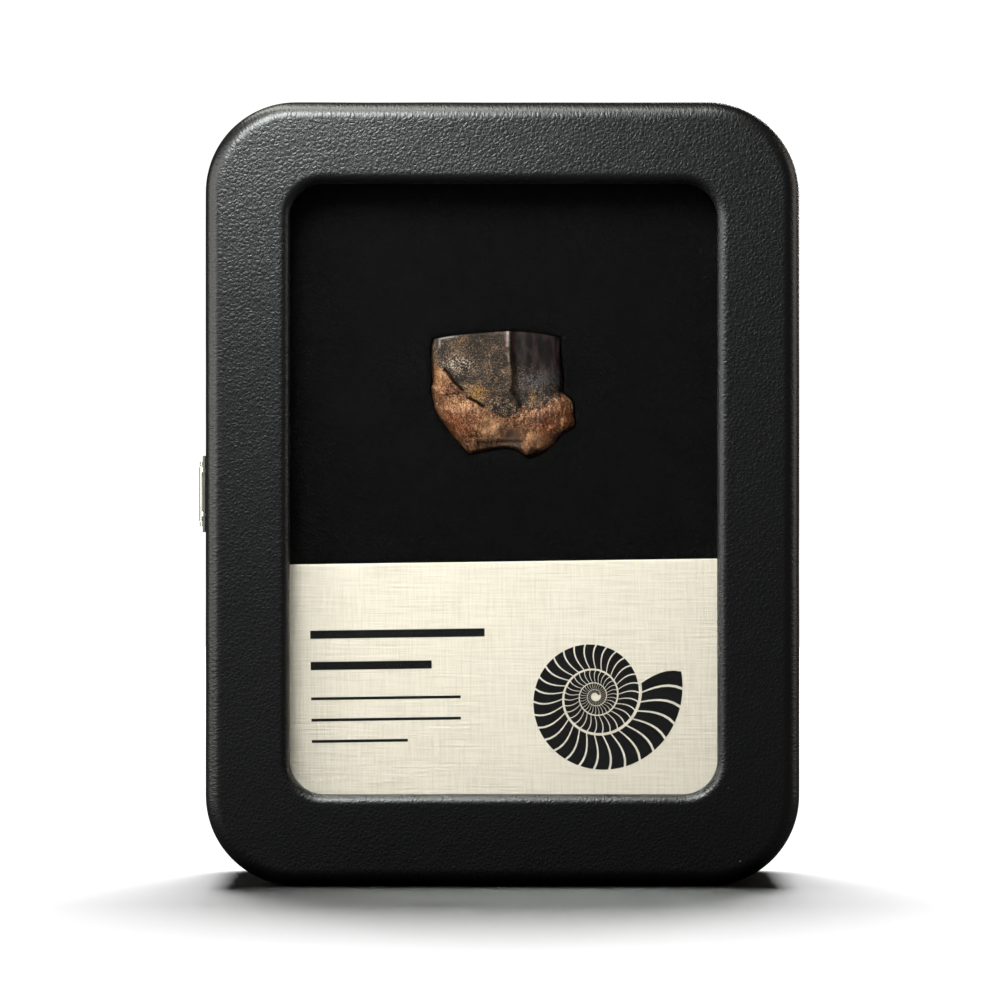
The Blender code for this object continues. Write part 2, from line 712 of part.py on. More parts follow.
def main():
    clear_scene()
    parts = collection("fossil_tooth_case")
    cutters = collection("cutters")
    leatherette = material("leatherette", (0.018, 0.019, 0.02), 0.5)
    glass = material("glass", (0.95, 0.98, 0.97), 0.02, transmission=1.0)
    board = material("black_board", (0.01, 0.01, 0.01), 0.7)
    foam = material("black_foam", (0.006, 0.006, 0.006), 0.95)
    paper = material("cream_paper", (0.78, 0.74, 0.62), 0.8)
    fossil = material("fossil", (0.18, 0.1, 0.06), 0.5)
    nickel = material("nickel", (0.72, 0.7, 0.66), 0.28, metallic=1.0)

    base = make_base(parts, cutters, leatherette)
    lid = make_lid(parts, cutters, leatherette)
    make_pane(parts, glass)
    make_retainer(parts, cutters, board)
    make_foam(parts, cutters, foam)
    make_label(parts, paper)
    tooth = make_tooth(parts, fossil)
    for name, side in (("hinge_lower", -1), ("hinge_upper", 1)):
        make_hinge(
            name, MIDDLE_Z + side * HINGE_FROM_MIDDLE, (lid, base), parts, cutters, nickel
        )
    make_latch(lid, base, parts, cutters, nickel)
    for obj in (base, lid, tooth):
        shade_by_angle(obj)


main()
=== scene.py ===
import math

import bmesh
import bpy
import numpy as np
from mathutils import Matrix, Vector


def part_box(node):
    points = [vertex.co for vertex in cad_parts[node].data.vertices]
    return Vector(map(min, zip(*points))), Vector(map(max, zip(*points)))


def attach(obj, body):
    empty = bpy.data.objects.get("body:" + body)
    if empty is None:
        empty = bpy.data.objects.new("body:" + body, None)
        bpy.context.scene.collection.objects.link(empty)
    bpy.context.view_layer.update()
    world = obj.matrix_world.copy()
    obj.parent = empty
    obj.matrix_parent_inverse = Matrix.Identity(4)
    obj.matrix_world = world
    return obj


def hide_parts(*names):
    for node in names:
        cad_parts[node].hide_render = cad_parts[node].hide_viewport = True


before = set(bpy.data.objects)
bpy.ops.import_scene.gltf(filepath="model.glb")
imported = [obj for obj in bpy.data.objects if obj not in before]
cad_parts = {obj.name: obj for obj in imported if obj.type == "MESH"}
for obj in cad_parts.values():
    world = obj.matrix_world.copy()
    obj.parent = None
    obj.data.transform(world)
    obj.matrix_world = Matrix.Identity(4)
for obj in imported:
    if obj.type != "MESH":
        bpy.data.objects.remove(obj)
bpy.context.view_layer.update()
mm = 0.001


def sizeOf(node):  # lowest corner, highest corner and middle of a CAD node, as arrays in metres
    low, high = (np.array(corner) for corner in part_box(node))
    return low, high, (low + high) / 2


lidLow, lidHigh, lidMiddle = sizeOf("case_lid")
baseLow, baseHigh = sizeOf("case_base")[:2]
foamLow, foamHigh, foamMiddle = sizeOf("foam_pad")
labelLow, labelHigh, labelMiddle = sizeOf("label_card")


def softNoise(points, size, seed):
    # Random values on a lattice with this spacing, blended smoothly between its corners: about -1 to 1
    table = np.random.RandomState(seed).uniform(-1, 1, 4096)
    spot = points / size
    corner = np.floor(spot).astype(np.int64)
    part = spot - corner
    part = part * part * part * (part * (part * 6 - 15) + 10)
    total = np.zeros(points.shape[:-1])
    for dx in (0, 1):
        for dy in (0, 1):
            for dz in (0, 1):
                key = (corner[..., 0] + dx) * 73856093 ^ (corner[..., 1] + dy) * 19349663
                key = (key ^ (corner[..., 2] + dz) * 83492791) % 4096
                share = np.abs(1 - dx - part[..., 0]) * np.abs(1 - dy - part[..., 1])
                total += table[key] * share * np.abs(1 - dz - part[..., 2])
    return total


def layeredNoise(points, size, seed, layers=3):
    # Soft noise again and again, each time at half the spacing and half the height
    return sum(softNoise(points, size / 2**n, seed + n) / 2**n for n in range(layers))


def ramp(value, low, high):
    # 0 below low and 1 above high, with a smooth rise between: three squares less two cubes
    share = np.clip((value - low) / (high - low), 0, 1)
    return share * share * (3 - 2 * share)


def gridQuads(rows, columns, wrapRows=False, wrapColumns=False, start=0):
    # Four corners for each cell of a grid of points, in the order rows then columns
    across = np.arange(columns if wrapColumns else columns - 1)
    down = np.arange(rows if wrapRows else rows - 1)
    row, column = np.meshgrid(down, across, indexing="ij")
    nextRow, nextColumn = (row + 1) % rows, (column + 1) % columns
    quads = np.stack([row * columns + column, row * columns + nextColumn,
                      nextRow * columns + nextColumn, nextRow * columns + column], axis=-1)
    return quads.reshape(-1, 4) + start


def makePiece(name, points, quads, body, material, replaced=(), marks=None, merge=0.0):
    # A closed mesh in one material, with marks as values at its points. Points nearer than merge are joined.
    mesh = bpy.data.meshes.new(name)
    mesh.vertices.add(len(points))
    mesh.vertices.foreach_set("co", np.ascontiguousarray(points, dtype=np.float32).ravel())
    mesh.loops.add(quads.size)
    mesh.loops.foreach_set("vertex_index", quads.ravel().astype(np.int32))
    mesh.polygons.add(len(quads))
    mesh.polygons.foreach_set("loop_start", np.arange(0, quads.size, 4, dtype=np.int32))
    mesh.update(calc_edges=True)
    for mark, values in (marks or {}).items():
        vector = values.shape[-1] == 3 and values.size == 3 * len(points)
        layer = mesh.attributes.new(mark, "FLOAT_VECTOR" if vector else "FLOAT", "POINT")
        layer.data.foreach_set("vector" if vector else "value", values.ravel().astype(np.float32))
    shape = bmesh.new()
    shape.from_mesh(mesh)
    if merge:
        bmesh.ops.remove_doubles(shape, verts=shape.verts, dist=merge)
        bmesh.ops.dissolve_degenerate(shape, edges=shape.edges, dist=merge / 2)
    bmesh.ops.recalc_face_normals(shape, faces=shape.faces)
    shape.to_mesh(mesh)
    shape.free()
    piece = bpy.data.objects.new(name, mesh)
    bpy.context.scene.collection.objects.link(piece)
    mesh.shade_smooth()
    mesh.set_sharp_from_angle(angle=math.radians(50))
    mesh.materials.append(material)
    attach(piece, body)
    if replaced:
        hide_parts(*replaced)
    return piece


ringCounts = {"arc": 30, "long": 130, "short": 96}  # steps in each quarter turn and each straight


def ringRows(width, height, corner, middleX, middleZ):
    # One rounded rectangle for each value: quarter turns joined by straights. Each stretch has a fixed
    # number of points, so rings of any size match. Gives x and z with a row for each ring.
    width, height, corner, middleX, middleZ = (
        np.atleast_1d(np.asarray(v, dtype=float))[:, None] for v in (width, height, corner, middleX, middleZ))
    signs = [(1, 1), (-1, 1), (-1, -1), (1, -1)]
    turns = np.linspace(0, math.pi / 2, ringCounts["arc"] + 1)[None, :]
    xs, zs = [], []
    for quarter, (signX, signZ) in enumerate(signs):
        angle = turns + quarter * math.pi / 2
        arcX = signX * (width / 2 - corner) + corner * np.cos(angle)
        arcZ = signZ * (height / 2 - corner) + corner * np.sin(angle)
        nextX, nextZ = signs[(quarter + 1) % 4]
        startAngle = (quarter + 1) * math.pi / 2
        goX = nextX * (width / 2 - corner) + corner * math.cos(startAngle)
        goZ = nextZ * (height / 2 - corner) + corner * math.sin(startAngle)
        count = ringCounts["short"] if quarter % 2 == 0 else ringCounts["long"]
        share = np.linspace(0, 1, count + 1)[1:-1][None, :]
        xs += [arcX, arcX[:, -1:] * (1 - share) + goX * share]
        zs += [arcZ, arcZ[:, -1:] * (1 - share) + goZ * share]
    return np.concatenate(xs, axis=1) + middleX, np.concatenate(zs, axis=1) + middleZ


def atDepth(x, z, depth):
    # Rings of x and z as points in space, each ring at its own depth
    return np.stack([x, np.repeat(np.asarray(depth)[:, None], x.shape[1], axis=1), z], axis=-1)


def quarterTurn(count):
    # Shares of a quarter turn: how far across and how far along it has gone
    angle = np.linspace(0, math.pi / 2, count + 1)
    return np.sin(angle), 1 - np.cos(angle)


def newMaterial(name):
    material = bpy.data.materials.new(name)
    material.use_nodes = True
    tree = material.node_tree
    return material, tree, tree.nodes["Principled BSDF"]


def fill(tree, node, values):
    # Sets each input of a node to a constant, or links it to another node's output
    for name, value in values.items():
        socket = node.inputs[name]
        if isinstance(value, bpy.types.NodeSocket):
            tree.links.new(value, socket)
        elif socket.type == "RGBA":
            socket.default_value = (*value, 1)
        else:
            socket.default_value = value


def addNode(tree, kind, values, **options):
    node = tree.nodes.new(kind)
    for name, value in options.items():
        setattr(node, name, value)
    fill(tree, node, values)
    return node


def objectPlace(tree):
    return tree.nodes.new("ShaderNodeTexCoord").outputs["Object"]


def mark(tree, name):
    return addNode(tree, "ShaderNodeAttribute", {}, attribute_name=name).outputs["Fac"]


def noise(tree, place, scale, detail, rough=0.5, output="Fac"):
    values = {"Vector": place, "Scale": scale, "Detail": detail, "Roughness": rough}
    return addNode(tree, "ShaderNodeTexNoise", values).outputs[output]


def stretched(tree, place, stretch, turn=0.0, shift=0.0):
    return addNode(tree, "ShaderNodeMapping", {
        "Vector": place, "Scale": stretch, "Rotation": (0.0, turn, 0.0), "Location": (shift, 0.0, shift),
    }).outputs[0]


def grey(value):
    return (value, value, value)


def colourRamp(tree, value, stops):
    # Turns a value into a colour by the stops on either side of it
    node = addNode(tree, "ShaderNodeValToRGB", {"Fac": value})
    elements = node.color_ramp.elements
    while len(elements) < len(stops):
        elements.new(0.5)
    for element, (place, colour) in zip(elements, stops):
        element.position = place
        element.color = (*colour, 1)
    return node.outputs["Color"]


def mathNode(tree, operation, first, second):
    return addNode(tree, "ShaderNodeMath", {0: first, 1: second}, operation=operation).outputs[0]


def weighed(tree, *parts):
    # The sum of each value times its weight
    total = mathNode(tree, "MULTIPLY", *parts[0])
    for part in parts[1:]:
        total = mathNode(tree, "ADD", total, mathNode(tree, "MULTIPLY", *part))
    return total


def spread(tree, value, low, high):
    # Carries 0 to 1 over to low to high
    values = {"Value": value, "To Min": low, "To Max": high}
    return addNode(tree, "ShaderNodeMapRange", values).outputs["Result"]


def mixColour(tree, factor, first, second, blend="MIX"):
    values = {"Factor": factor, "A": first, "B": second}
    return addNode(tree, "ShaderNodeMix", values, data_type="RGBA", blend_type=blend).outputs["Result"]


def bumped(tree, shader, height, strength, distance):
    bump = addNode(tree, "ShaderNodeBump", {"Height": height, "Strength": strength, "Distance": distance})
    fill(tree, shader, {"Normal": bump.outputs["Normal"]})


leather = {
    "dark": (0.0008, 0.0009, 0.0009), "light": (0.0024, 0.0026, 0.0026), "rough": (0.38, 0.32),
    "specular": 0.9, "cell": 1650.0, "fine": 3000.0, "broad": 420.0, "relief": 0.000045,
    "driftScale": 1700.0, "drift": 0.0005, "dustScale": 170.0, "dust": 0.16,
}


def leatherMaterial():
    # Creases between irregular cells of about half a millimetre, with fine pores and a few specks of dust.
    # The pattern lies in the skin's own coordinates, so it is drawn out where the skin goes round an edge.
    material, tree, shader = newMaterial("blackLeatherette")
    place = addNode(tree, "ShaderNodeAttribute", {}, attribute_name="skin").outputs["Vector"]
    drift = noise(tree, place, leather["driftScale"], 2.0, output="Color")
    shift = addNode(tree, "ShaderNodeVectorMath", {0: drift, 1: grey(leather["drift"]), 2: place},
                    operation="MULTIPLY_ADD")
    cells = addNode(tree, "ShaderNodeTexVoronoi", {"Vector": shift.outputs[0], "Scale": leather["cell"]},
                    feature="DISTANCE_TO_EDGE")
    crease = colourRamp(tree, cells.outputs["Distance"],
                        [(0.0, grey(0.0)), (0.3, grey(0.72)), (0.6, grey(1.0))])
    fine = noise(tree, place, leather["fine"], 2.0)
    broad = noise(tree, place, leather["broad"], 3.0)
    height = weighed(tree, (crease, 0.7), (fine, 0.4), (broad, 0.6))
    bumped(tree, shader, mathNode(tree, "MULTIPLY", height, mark(tree, "grain")), 1.0, leather["relief"])
    tone = mathNode(tree, "MULTIPLY", crease, broad)
    dust = addNode(tree, "ShaderNodeTexVoronoi", {"Vector": place, "Scale": leather["dustScale"]})
    speck = colourRamp(tree, dust.outputs["Distance"], [(0.016, grey(1.0)), (0.024, grey(0.0))])
    colour = colourRamp(tree, tone, [(0.1, leather["dark"]), (0.7, leather["light"])])
    fill(tree, shader, {
        "Base Color": mixColour(tree, speck, colour, grey(leather["dust"])),
        "Roughness": spread(tree, tone, *leather["rough"]), "Specular IOR Level": leather["specular"]})
    return material


glass = {"tint": (0.99, 0.995, 0.99), "shadow": (0.97, 0.973, 0.967), "ior": 1.45, "wipe": 60.0}


def glassMaterial():
    # Clear float glass that lets light through to what is behind it, with faint wipe marks in its gloss
    material, tree, shader = newMaterial("windowGlass")
    smear = noise(tree, objectPlace(tree), glass["wipe"], 4.0)
    fill(tree, shader, {
        "Roughness": colourRamp(tree, smear, [(0.4, grey(0.0)), (0.8, grey(0.05))]),
        "Base Color": glass["tint"], "Transmission Weight": 1.0, "IOR": glass["ior"]})
    clear = addNode(tree, "ShaderNodeBsdfTransparent", {"Color": glass["shadow"]})
    path = tree.nodes.new("ShaderNodeLightPath")
    mixed = addNode(tree, "ShaderNodeMixShader", {
        0: path.outputs["Is Shadow Ray"], 1: shader.outputs[0], 2: clear.outputs[0]})
    fill(tree, tree.nodes["Material Output"], {"Surface": mixed.outputs[0]})
    return material


def foamMaterial(name, dark, light, pore):
    # Matt black cells with darker pores
    material, tree, shader = newMaterial(name)
    place = objectPlace(tree)
    cells = addNode(tree, "ShaderNodeTexVoronoi", {"Vector": place, "Scale": pore})
    fine = noise(tree, place, pore * 0.6, 5.0)
    bumped(tree, shader, mathNode(tree, "ADD", cells.outputs["Distance"], fine), 0.8, 0.00012)
    colour = colourRamp(tree, fine, [(0.3, grey(dark)), (0.75, grey(light))])
    fill(tree, shader, {"Base Color": colour, "Roughness": 0.95, "Specular IOR Level": 0.08})
    return material


paper = {
    "light": (0.73, 0.657, 0.56), "dark": (0.62, 0.552, 0.45), "rough": 0.78, "specular": 0.3,
    "relief": 0.00009, "cloud": 150.0,
    "threads": [((150.0, 1.0, 3000.0), 1.0), ((3000.0, 1.0, 190.0), 7.0)],  # stretch and shift of each set
}


def paperMaterial():
    # Linen board: two sets of fine embossed threads that cross, uneven in height, on warm cream
    material, tree, shader = newMaterial("creamLinenCard")
    place = objectPlace(tree)
    lying, standing = (noise(tree, stretched(tree, place, stretch, shift=shift), 1.0, 2.0)
                       for stretch, shift in paper["threads"])
    weave = weighed(tree, (lying, 1.15), (standing, 1.0))
    bumped(tree, shader, weave, 0.8, paper["relief"])
    tone = weighed(tree, (weave, 0.42), (noise(tree, place, paper["cloud"], 4.0), 0.12))
    fill(tree, shader, {
        "Base Color": colourRamp(tree, tone, [(0.32, paper["dark"]), (0.56, paper["light"])]),
        "Roughness": paper["rough"], "Specular IOR Level": paper["specular"]})
    return material


def inkMaterial():
    # Flat printing ink that takes a little of the paper's tooth
    material, tree, shader = newMaterial("blackInk")
    fine = noise(tree, objectPlace(tree), 2500.0, 3.0)
    bumped(tree, shader, fine, 0.4, 0.00003)
    colour = colourRamp(tree, fine, [(0.35, grey(0.0015)), (0.75, grey(0.005))])
    fill(tree, shader, {"Base Color": colour, "Roughness": 0.7, "Specular IOR Level": 0.12})
    return material


nickel = {
    "bright": (0.9, 0.88, 0.79), "dull": (0.8, 0.775, 0.69), "rough": (0.24, 0.42),
    "brush": (9000.0, 9000.0, 700.0), "spot": 700.0,
}


def nickelMaterial():
    # Bright plate with brushed streaks along Z and a few duller, older spots
    material, tree, shader = newMaterial("nickelPlate")
    place = objectPlace(tree)
    streak = noise(tree, stretched(tree, place, nickel["brush"]), 1.0, 3.0)
    spot = noise(tree, place, nickel["spot"], 4.0)
    bumped(tree, shader, streak, 0.25, 0.00001)
    fill(tree, shader, {
        "Base Color": colourRamp(tree, spot, [(0.35, nickel["dull"]), (0.6, nickel["bright"])]),
        "Roughness": spread(tree, streak, *nickel["rough"]), "Metallic": 1.0})
    return material


fossil = {
    "rootDark": (0.013, 0.004, 0.0015), "rootCopper": (0.1, 0.033, 0.0115), "rootPale": (0.55, 0.29, 0.15),
    "rust": (0.95, 0.71, 0.57), "enamelDark": (0.0025, 0.0015, 0.0011),
    "enamelBrown": (0.009, 0.0052, 0.0035), "enamelTan": (0.028, 0.0155, 0.0092), "tan": (0.18, 0.106, 0.058),
    "gold": (0.23, 0.108, 0.016), "white": (0.5, 0.4, 0.3), "blue": (0.08, 0.08, 0.085),
    "plum": (0.024, 0.0125, 0.011),
    # under is painted shade on the shelf below the root lobes
    "plumDark": (0.0035, 0.002, 0.0018), "hollow": (0.095, 0.052, 0.033), "underShade": (0.03, 0.0115, 0.006),
    # Painted highlights: crest on the ridge, rim along the top edge. Painted shade: crack, in the cracks
    "crestHighlight": (0.26, 0.2, 0.195), "rim": (0.26, 0.235, 0.23), "crackShade": (0.003, 0.0015, 0.001),
    "rootRough": 0.55, "enamelRough": 0.42, "specular": 0.24, "relief": 0.00012,
}


def toothMaterial():
    # The root is a grainy, fibrous copper brown with rusty places and paler ones, some of which are painted
    # highlights. The enamel is nearly black with tan, gold and white specks, more of them at the top left as
    # painted sheen, and plain plum to the right of the ridge, where a blue-grey band crosses it. Painted
    # highlights lie on the ridge's crest and the top edge, painted shade in the cracks and under the root.
    # Marks on the mesh say where each one is.
    material, tree, shader = newMaterial("fossilTooth")
    place = objectPlace(tree)

    def noiseAt(scale, detail=3.0, stretch=(1.0, 1.0, 1.0), turn=0.0, rough=0.55):
        return noise(tree, stretched(tree, place, stretch, turn), scale, detail, rough)

    def over(below, name, colour):
        return mixColour(tree, mark(tree, name), below, colour)

    grain = noiseAt(6000.0, 2.0, rough=0.7)
    fibre = noiseAt(3600.0, 3.0, (1.0, 1.0, 0.3), 0.25)
    lump = noiseAt(900.0)
    speck = noiseAt(6400.0, 2.0, rough=0.7)
    streak = noiseAt(1100.0, 3.0, (1.0, 1.0, 0.3), 0.1)
    # The pale mark lifts the root's tone towards its palest colour, for lighter patches and painted
    # highlights
    tone = weighed(tree, (grain, 0.6), (fibre, 0.28), (lump, 0.12), (mark(tree, "paleAndHighlight"), 0.045))
    root = colourRamp(tree, tone, [(0.41, fossil["rootDark"]), (0.49, fossil["rootCopper"]),
                                   (0.66, fossil["rootPale"])])
    root = mixColour(tree, mark(tree, "rust"), root, fossil["rust"], "MULTIPLY")
    enamel = colourRamp(tree, speck, [(0.38, fossil["enamelDark"]), (0.55, fossil["enamelBrown"]),
                                      (0.7, fossil["enamelTan"])])
    dotColour = fossil["tan"]
    for name in ("gold", "white", "blue"):
        dotColour = over(dotColour, name, fossil[name])
    dense = weighed(tree, (grain, 1.0), (mark(tree, "dense"), 0.1))
    dots = colourRamp(tree, dense, [(0.56, grey(0.0)), (0.62, grey(1.0))])
    enamel = mixColour(tree, dots, enamel, dotColour)
    plum = colourRamp(tree, streak, [(0.45, fossil["plumDark"]), (0.56, fossil["plum"])])
    # The crest mark lays a painted highlight along the ridge
    enamel = over(over(enamel, "plum", plum), "crestHighlight", fossil["crestHighlight"])
    # Over the root go the hollow's colour, painted shade under the root, the enamel, the painted highlight on
    # the top edge and painted shade in the cracks
    colour = root
    for name, paint in (("hollow", fossil["hollow"]), ("underShade", fossil["underShade"]), ("enamel", enamel),
                        ("rim", fossil["rim"]), ("shade", fossil["crackShade"])):
        colour = over(colour, name, paint)
    rough = mixColour(tree, mark(tree, "enamel"), grey(fossil["rootRough"]), grey(fossil["enamelRough"]))
    fill(tree, shader, {"Base Color": colour, "Roughness": rough, "Specular IOR Level": fossil["specular"]})
    bumped(tree, shader, weighed(tree, (fibre, 0.6), (grain, 0.7)), 0.8, fossil["relief"])
    return material


def seenStraight(tree):
    # 1 for what the camera sees directly or through the glass alone, and 0 for any light that has bounced
    path = tree.nodes.new("ShaderNodeLightPath").outputs
    bounces = mathNode(tree, "ADD", path["Diffuse Depth"], path["Glossy Depth"])
    unbounced = mathNode(tree, "LESS_THAN", bounces, 0.5)
    through = mathNode(tree, "GREATER_THAN", path["Transmission Depth"], 0.5)
    return mathNode(tree, "MAXIMUM", path["Is Camera Ray"], mathNode(tree, "MULTIPLY", through, unbounced))


def floorMaterial():
    # A white floor for the camera. Other light meets a dark one, so none is thrown up at the case.
    material, tree, shader = newMaterial("paleFloor")
    fill(tree, shader, {"Base Color": mixColour(tree, seenStraight(tree), grey(0.05), grey(0.9)),
                        "Roughness": 1.0, "Specular IOR Level": 0.0})
    return material


finishes = {
    "leatherette": leatherMaterial(), "glass": glassMaterial(),
    "paper": paperMaterial(), "ink": inkMaterial(),
    "board": foamMaterial("blackBoard", 0.0015, 0.004, 1800.0),
    "foam": foamMaterial("blackFoam", 0.0008, 0.0024, 2400.0),
    "nickel": nickelMaterial(), "fossil": toothMaterial(),
}
print("materials ready")

lid = {
    "corner": 12.6 * mm, "edgeRound": 2.4 * mm, "rimRound": 1.3 * mm, "wall": 3.5 * mm, "lip": 1.5 * mm,
    "windowWidth": 59.65 * mm, "windowHeight": 85.2 * mm, "windowCorner": 4.8 * mm, "windowRound": 1.4 * mm,
    "windowX": 0.15 * mm, "windowRise": 0.7 * mm, "innerRound": 0.2 * mm, "wave": 0.07 * mm,
    "waveSize": 9 * mm, "turnSteps": 12, "sideSteps": 15, "faceSteps": 33,
}
base = {
    "wall": 4.0 * mm, "floor": 2.5 * mm,
    "turnSteps": 10, "sideSteps": 25, "floorRings": 8, "backRings": 43,
}
hinge = {"barrel": 0.8 * mm, "gap": 0.3 * mm, "nodes": ("hinge_lower_base_leaf", "hinge_upper_base_leaf")}


def wallRows(inset, depth, low, high, corner):
    # Rings of the case's outline, each smaller all round by its inset and at its own depth
    inset = np.asarray(inset, dtype=float)
    size = high - low
    shrunk = np.clip(inset, None, size[0] / 2)
    x, z = ringRows(size[0] - 2 * shrunk, size[2] - 2 * shrunk, np.maximum(corner - inset, 0),
                    0 * inset, 0 * inset + lidMiddle[2])
    return atDepth(x, z, depth)


def windowRows(grow, depth):
    # Rings of the window's outline, each larger all round by its growth and at its own depth
    grow = np.asarray(grow, dtype=float)
    x, z = ringRows(lid["windowWidth"] + 2 * grow, lid["windowHeight"] + 2 * grow, lid["windowCorner"] + grow,
                    0 * grow + lid["windowX"], 0 * grow + lidMiddle[2] + lid["windowRise"])
    return atDepth(x, z, depth)


def drawnOut(values, pull):
    # The same values with each step made smaller by its pull, which draws the grain out there
    return values[0] + np.concatenate([[0.0], np.cumsum(np.diff(values) * pull[1:])])


def easeSkin(points, grain):
    # Sinks the skin by up to the wave's height in soft swells, and lets it back round each hinge barrel
    size = lid["waveSize"]
    sink = (0.5 + 0.5 * np.clip(layeredNoise(points, size, 11, 2), -1, 1)) * lid["wave"]
    centre = np.array([0.0, 0.0, lidMiddle[2]])
    inward = centre - points
    inward[..., 1] = -np.sign(points[..., 1]) * np.abs(points[..., 1]) * 3
    inward /= np.linalg.norm(inward, axis=-1, keepdims=True)
    points = points + inward * (sink * grain)[..., None]
    for node in hinge["nodes"]:
        low, high = sizeOf(node)[:2]
        axis = np.array([high[0] - hinge["barrel"], (lidHigh[1] + baseLow[1]) / 2])
        away = points[..., :2] - axis
        far = np.linalg.norm(away, axis=-1)
        clear = hinge["barrel"] + hinge["gap"]
        beside = (points[..., 2] > low[2] - hinge["gap"]) & (points[..., 2] < high[2] + hinge["gap"])
        near = (far < clear) & beside
        push = np.where(near, clear / np.maximum(far, 1e-6), 1.0)
        points[..., :2] = axis + away * push[..., None]
    return points


def lidSkin():
    # One closed profile carried round the window: out from the window's edge over its rounding, across the
    # face, over the outer rounding, down the side, in over the rim and up the inner wall to the lip's back
    front, rim = lidLow[1], lidHigh[1]
    lipBack = front + lid["lip"]
    across, along = quarterTurn(lid["turnSteps"])
    turn, edge, rimTurn = lid["windowRound"], lid["edgeRound"], lid["rimRound"]
    grow = np.concatenate([turn * along[::-1], [0.0, 0.0]])
    depth = np.concatenate([front + turn - turn * across[::-1], [(lipBack + front + turn) / 2, lipBack]])
    pull = np.full(grow.size, 0.8)
    inner = windowRows(grow, depth)[::-1]
    innerSkin = windowRows(drawnOut(grow, pull), drawnOut(depth, pull))[::-1]
    innerGrain = np.linspace(1.0, 0.75, grow.size)[::-1]
    side = np.linspace(front + edge, rim - rimTurn, lid["sideSteps"] + 1)[1:]
    inset = np.concatenate([edge - edge * across, 0 * side, rimTurn * along[1:],
                            [lid["wall"] - lid["innerRound"], lid["wall"], lid["wall"]]])
    depth = np.concatenate([front + edge * along, side, rim - rimTurn + rimTurn * across[1:],
                            [rim, rim - lid["innerRound"], lipBack]])
    pull = np.concatenate([np.full(across.size, 0.42), np.full(side.size, 1.0), np.full(across.size - 1, 0.5),
                           np.full(3, 1.0)])
    grain = np.concatenate([np.linspace(1.0, 0.5, across.size), np.linspace(0.6, 1.0, side.size),
                            np.full(across.size - 1, 0.5), np.full(3, 0.4)])
    outer = wallRows(inset, depth, lidLow, lidHigh, lid["corner"])
    outerSkin = wallRows(drawnOut(inset, pull), drawnOut(depth, pull), lidLow, lidHigh, lid["corner"])
    share = np.linspace(0, 1, lid["faceSteps"] + 1)[1:-1][:, None, None]
    face = inner[-1:] * (1 - share) + outer[:1] * share
    points = np.concatenate([inner, face, outer])
    skin = np.concatenate([innerSkin, face, outerSkin])
    grain = np.concatenate([innerGrain, np.ones(share.size), grain])
    grain = np.repeat(grain[:, None], points.shape[1], axis=1)
    points = easeSkin(points, grain)
    quads = gridQuads(*points.shape[:2], wrapRows=True, wrapColumns=True)
    makePiece("lid_skin", points.reshape(-1, 3), quads, "lid", finishes["leatherette"],
              ["case_lid"], {"grain": grain, "skin": skin.reshape(-1, 3)})


def baseSkin():
    # The tray in one closed sweep: floor inside, inner wall, rim, side, back rounding and the flat back.
    # At both ends the rings shrink to a line.
    rim, back = baseLow[1], baseHigh[1]
    floor = back - base["floor"]
    across, along = quarterTurn(base["turnSteps"])
    floorRings, backRings = base["floorRings"], base["backRings"]
    turn, edge = lid["rimRound"], lid["edgeRound"]
    half = (baseHigh[0] - baseLow[0]) / 2
    side = np.linspace(rim + turn, back - edge, base["sideSteps"] + 1)[1:]
    inset = np.concatenate([np.linspace(half, base["wall"], floorRings),
                            [base["wall"], base["wall"] - lid["innerRound"]], turn - turn * across, 0 * side,
                            edge * along[1:], np.linspace(edge, half, backRings + 1)[1:]])
    depth = np.concatenate([np.full(floorRings, floor), [rim + lid["innerRound"], rim], rim + turn * along,
                            side, back - edge + edge * across[1:], np.full(backRings, back)])
    counts = [floorRings + 2, across.size, side.size, across.size - 1, backRings]
    pull = np.repeat([1.0, 0.5, 1.0, 0.42, 1.0], counts)
    grain = np.repeat([0.4, 0.5, 1.0, 0.6, 1.0], counts)
    grain[sum(counts[:2]):sum(counts[:3])] = np.linspace(0.6, 1.0, side.size)
    points = wallRows(inset, depth, baseLow, baseHigh, lid["corner"])
    skin = wallRows(drawnOut(inset, pull), drawnOut(depth, pull), baseLow, baseHigh, lid["corner"])
    grain = np.repeat(grain[:, None], points.shape[1], axis=1)
    points = easeSkin(points, grain)
    quads = gridQuads(*points.shape[:2], wrapColumns=True)
    makePiece("base_skin", points.reshape(-1, 3), quads, "base", finishes["leatherette"],
              ["case_base"], {"grain": grain, "skin": skin.reshape(-1, 3)}, merge=1e-6)


lidSkin()
baseSkin()
print("case skins ready")

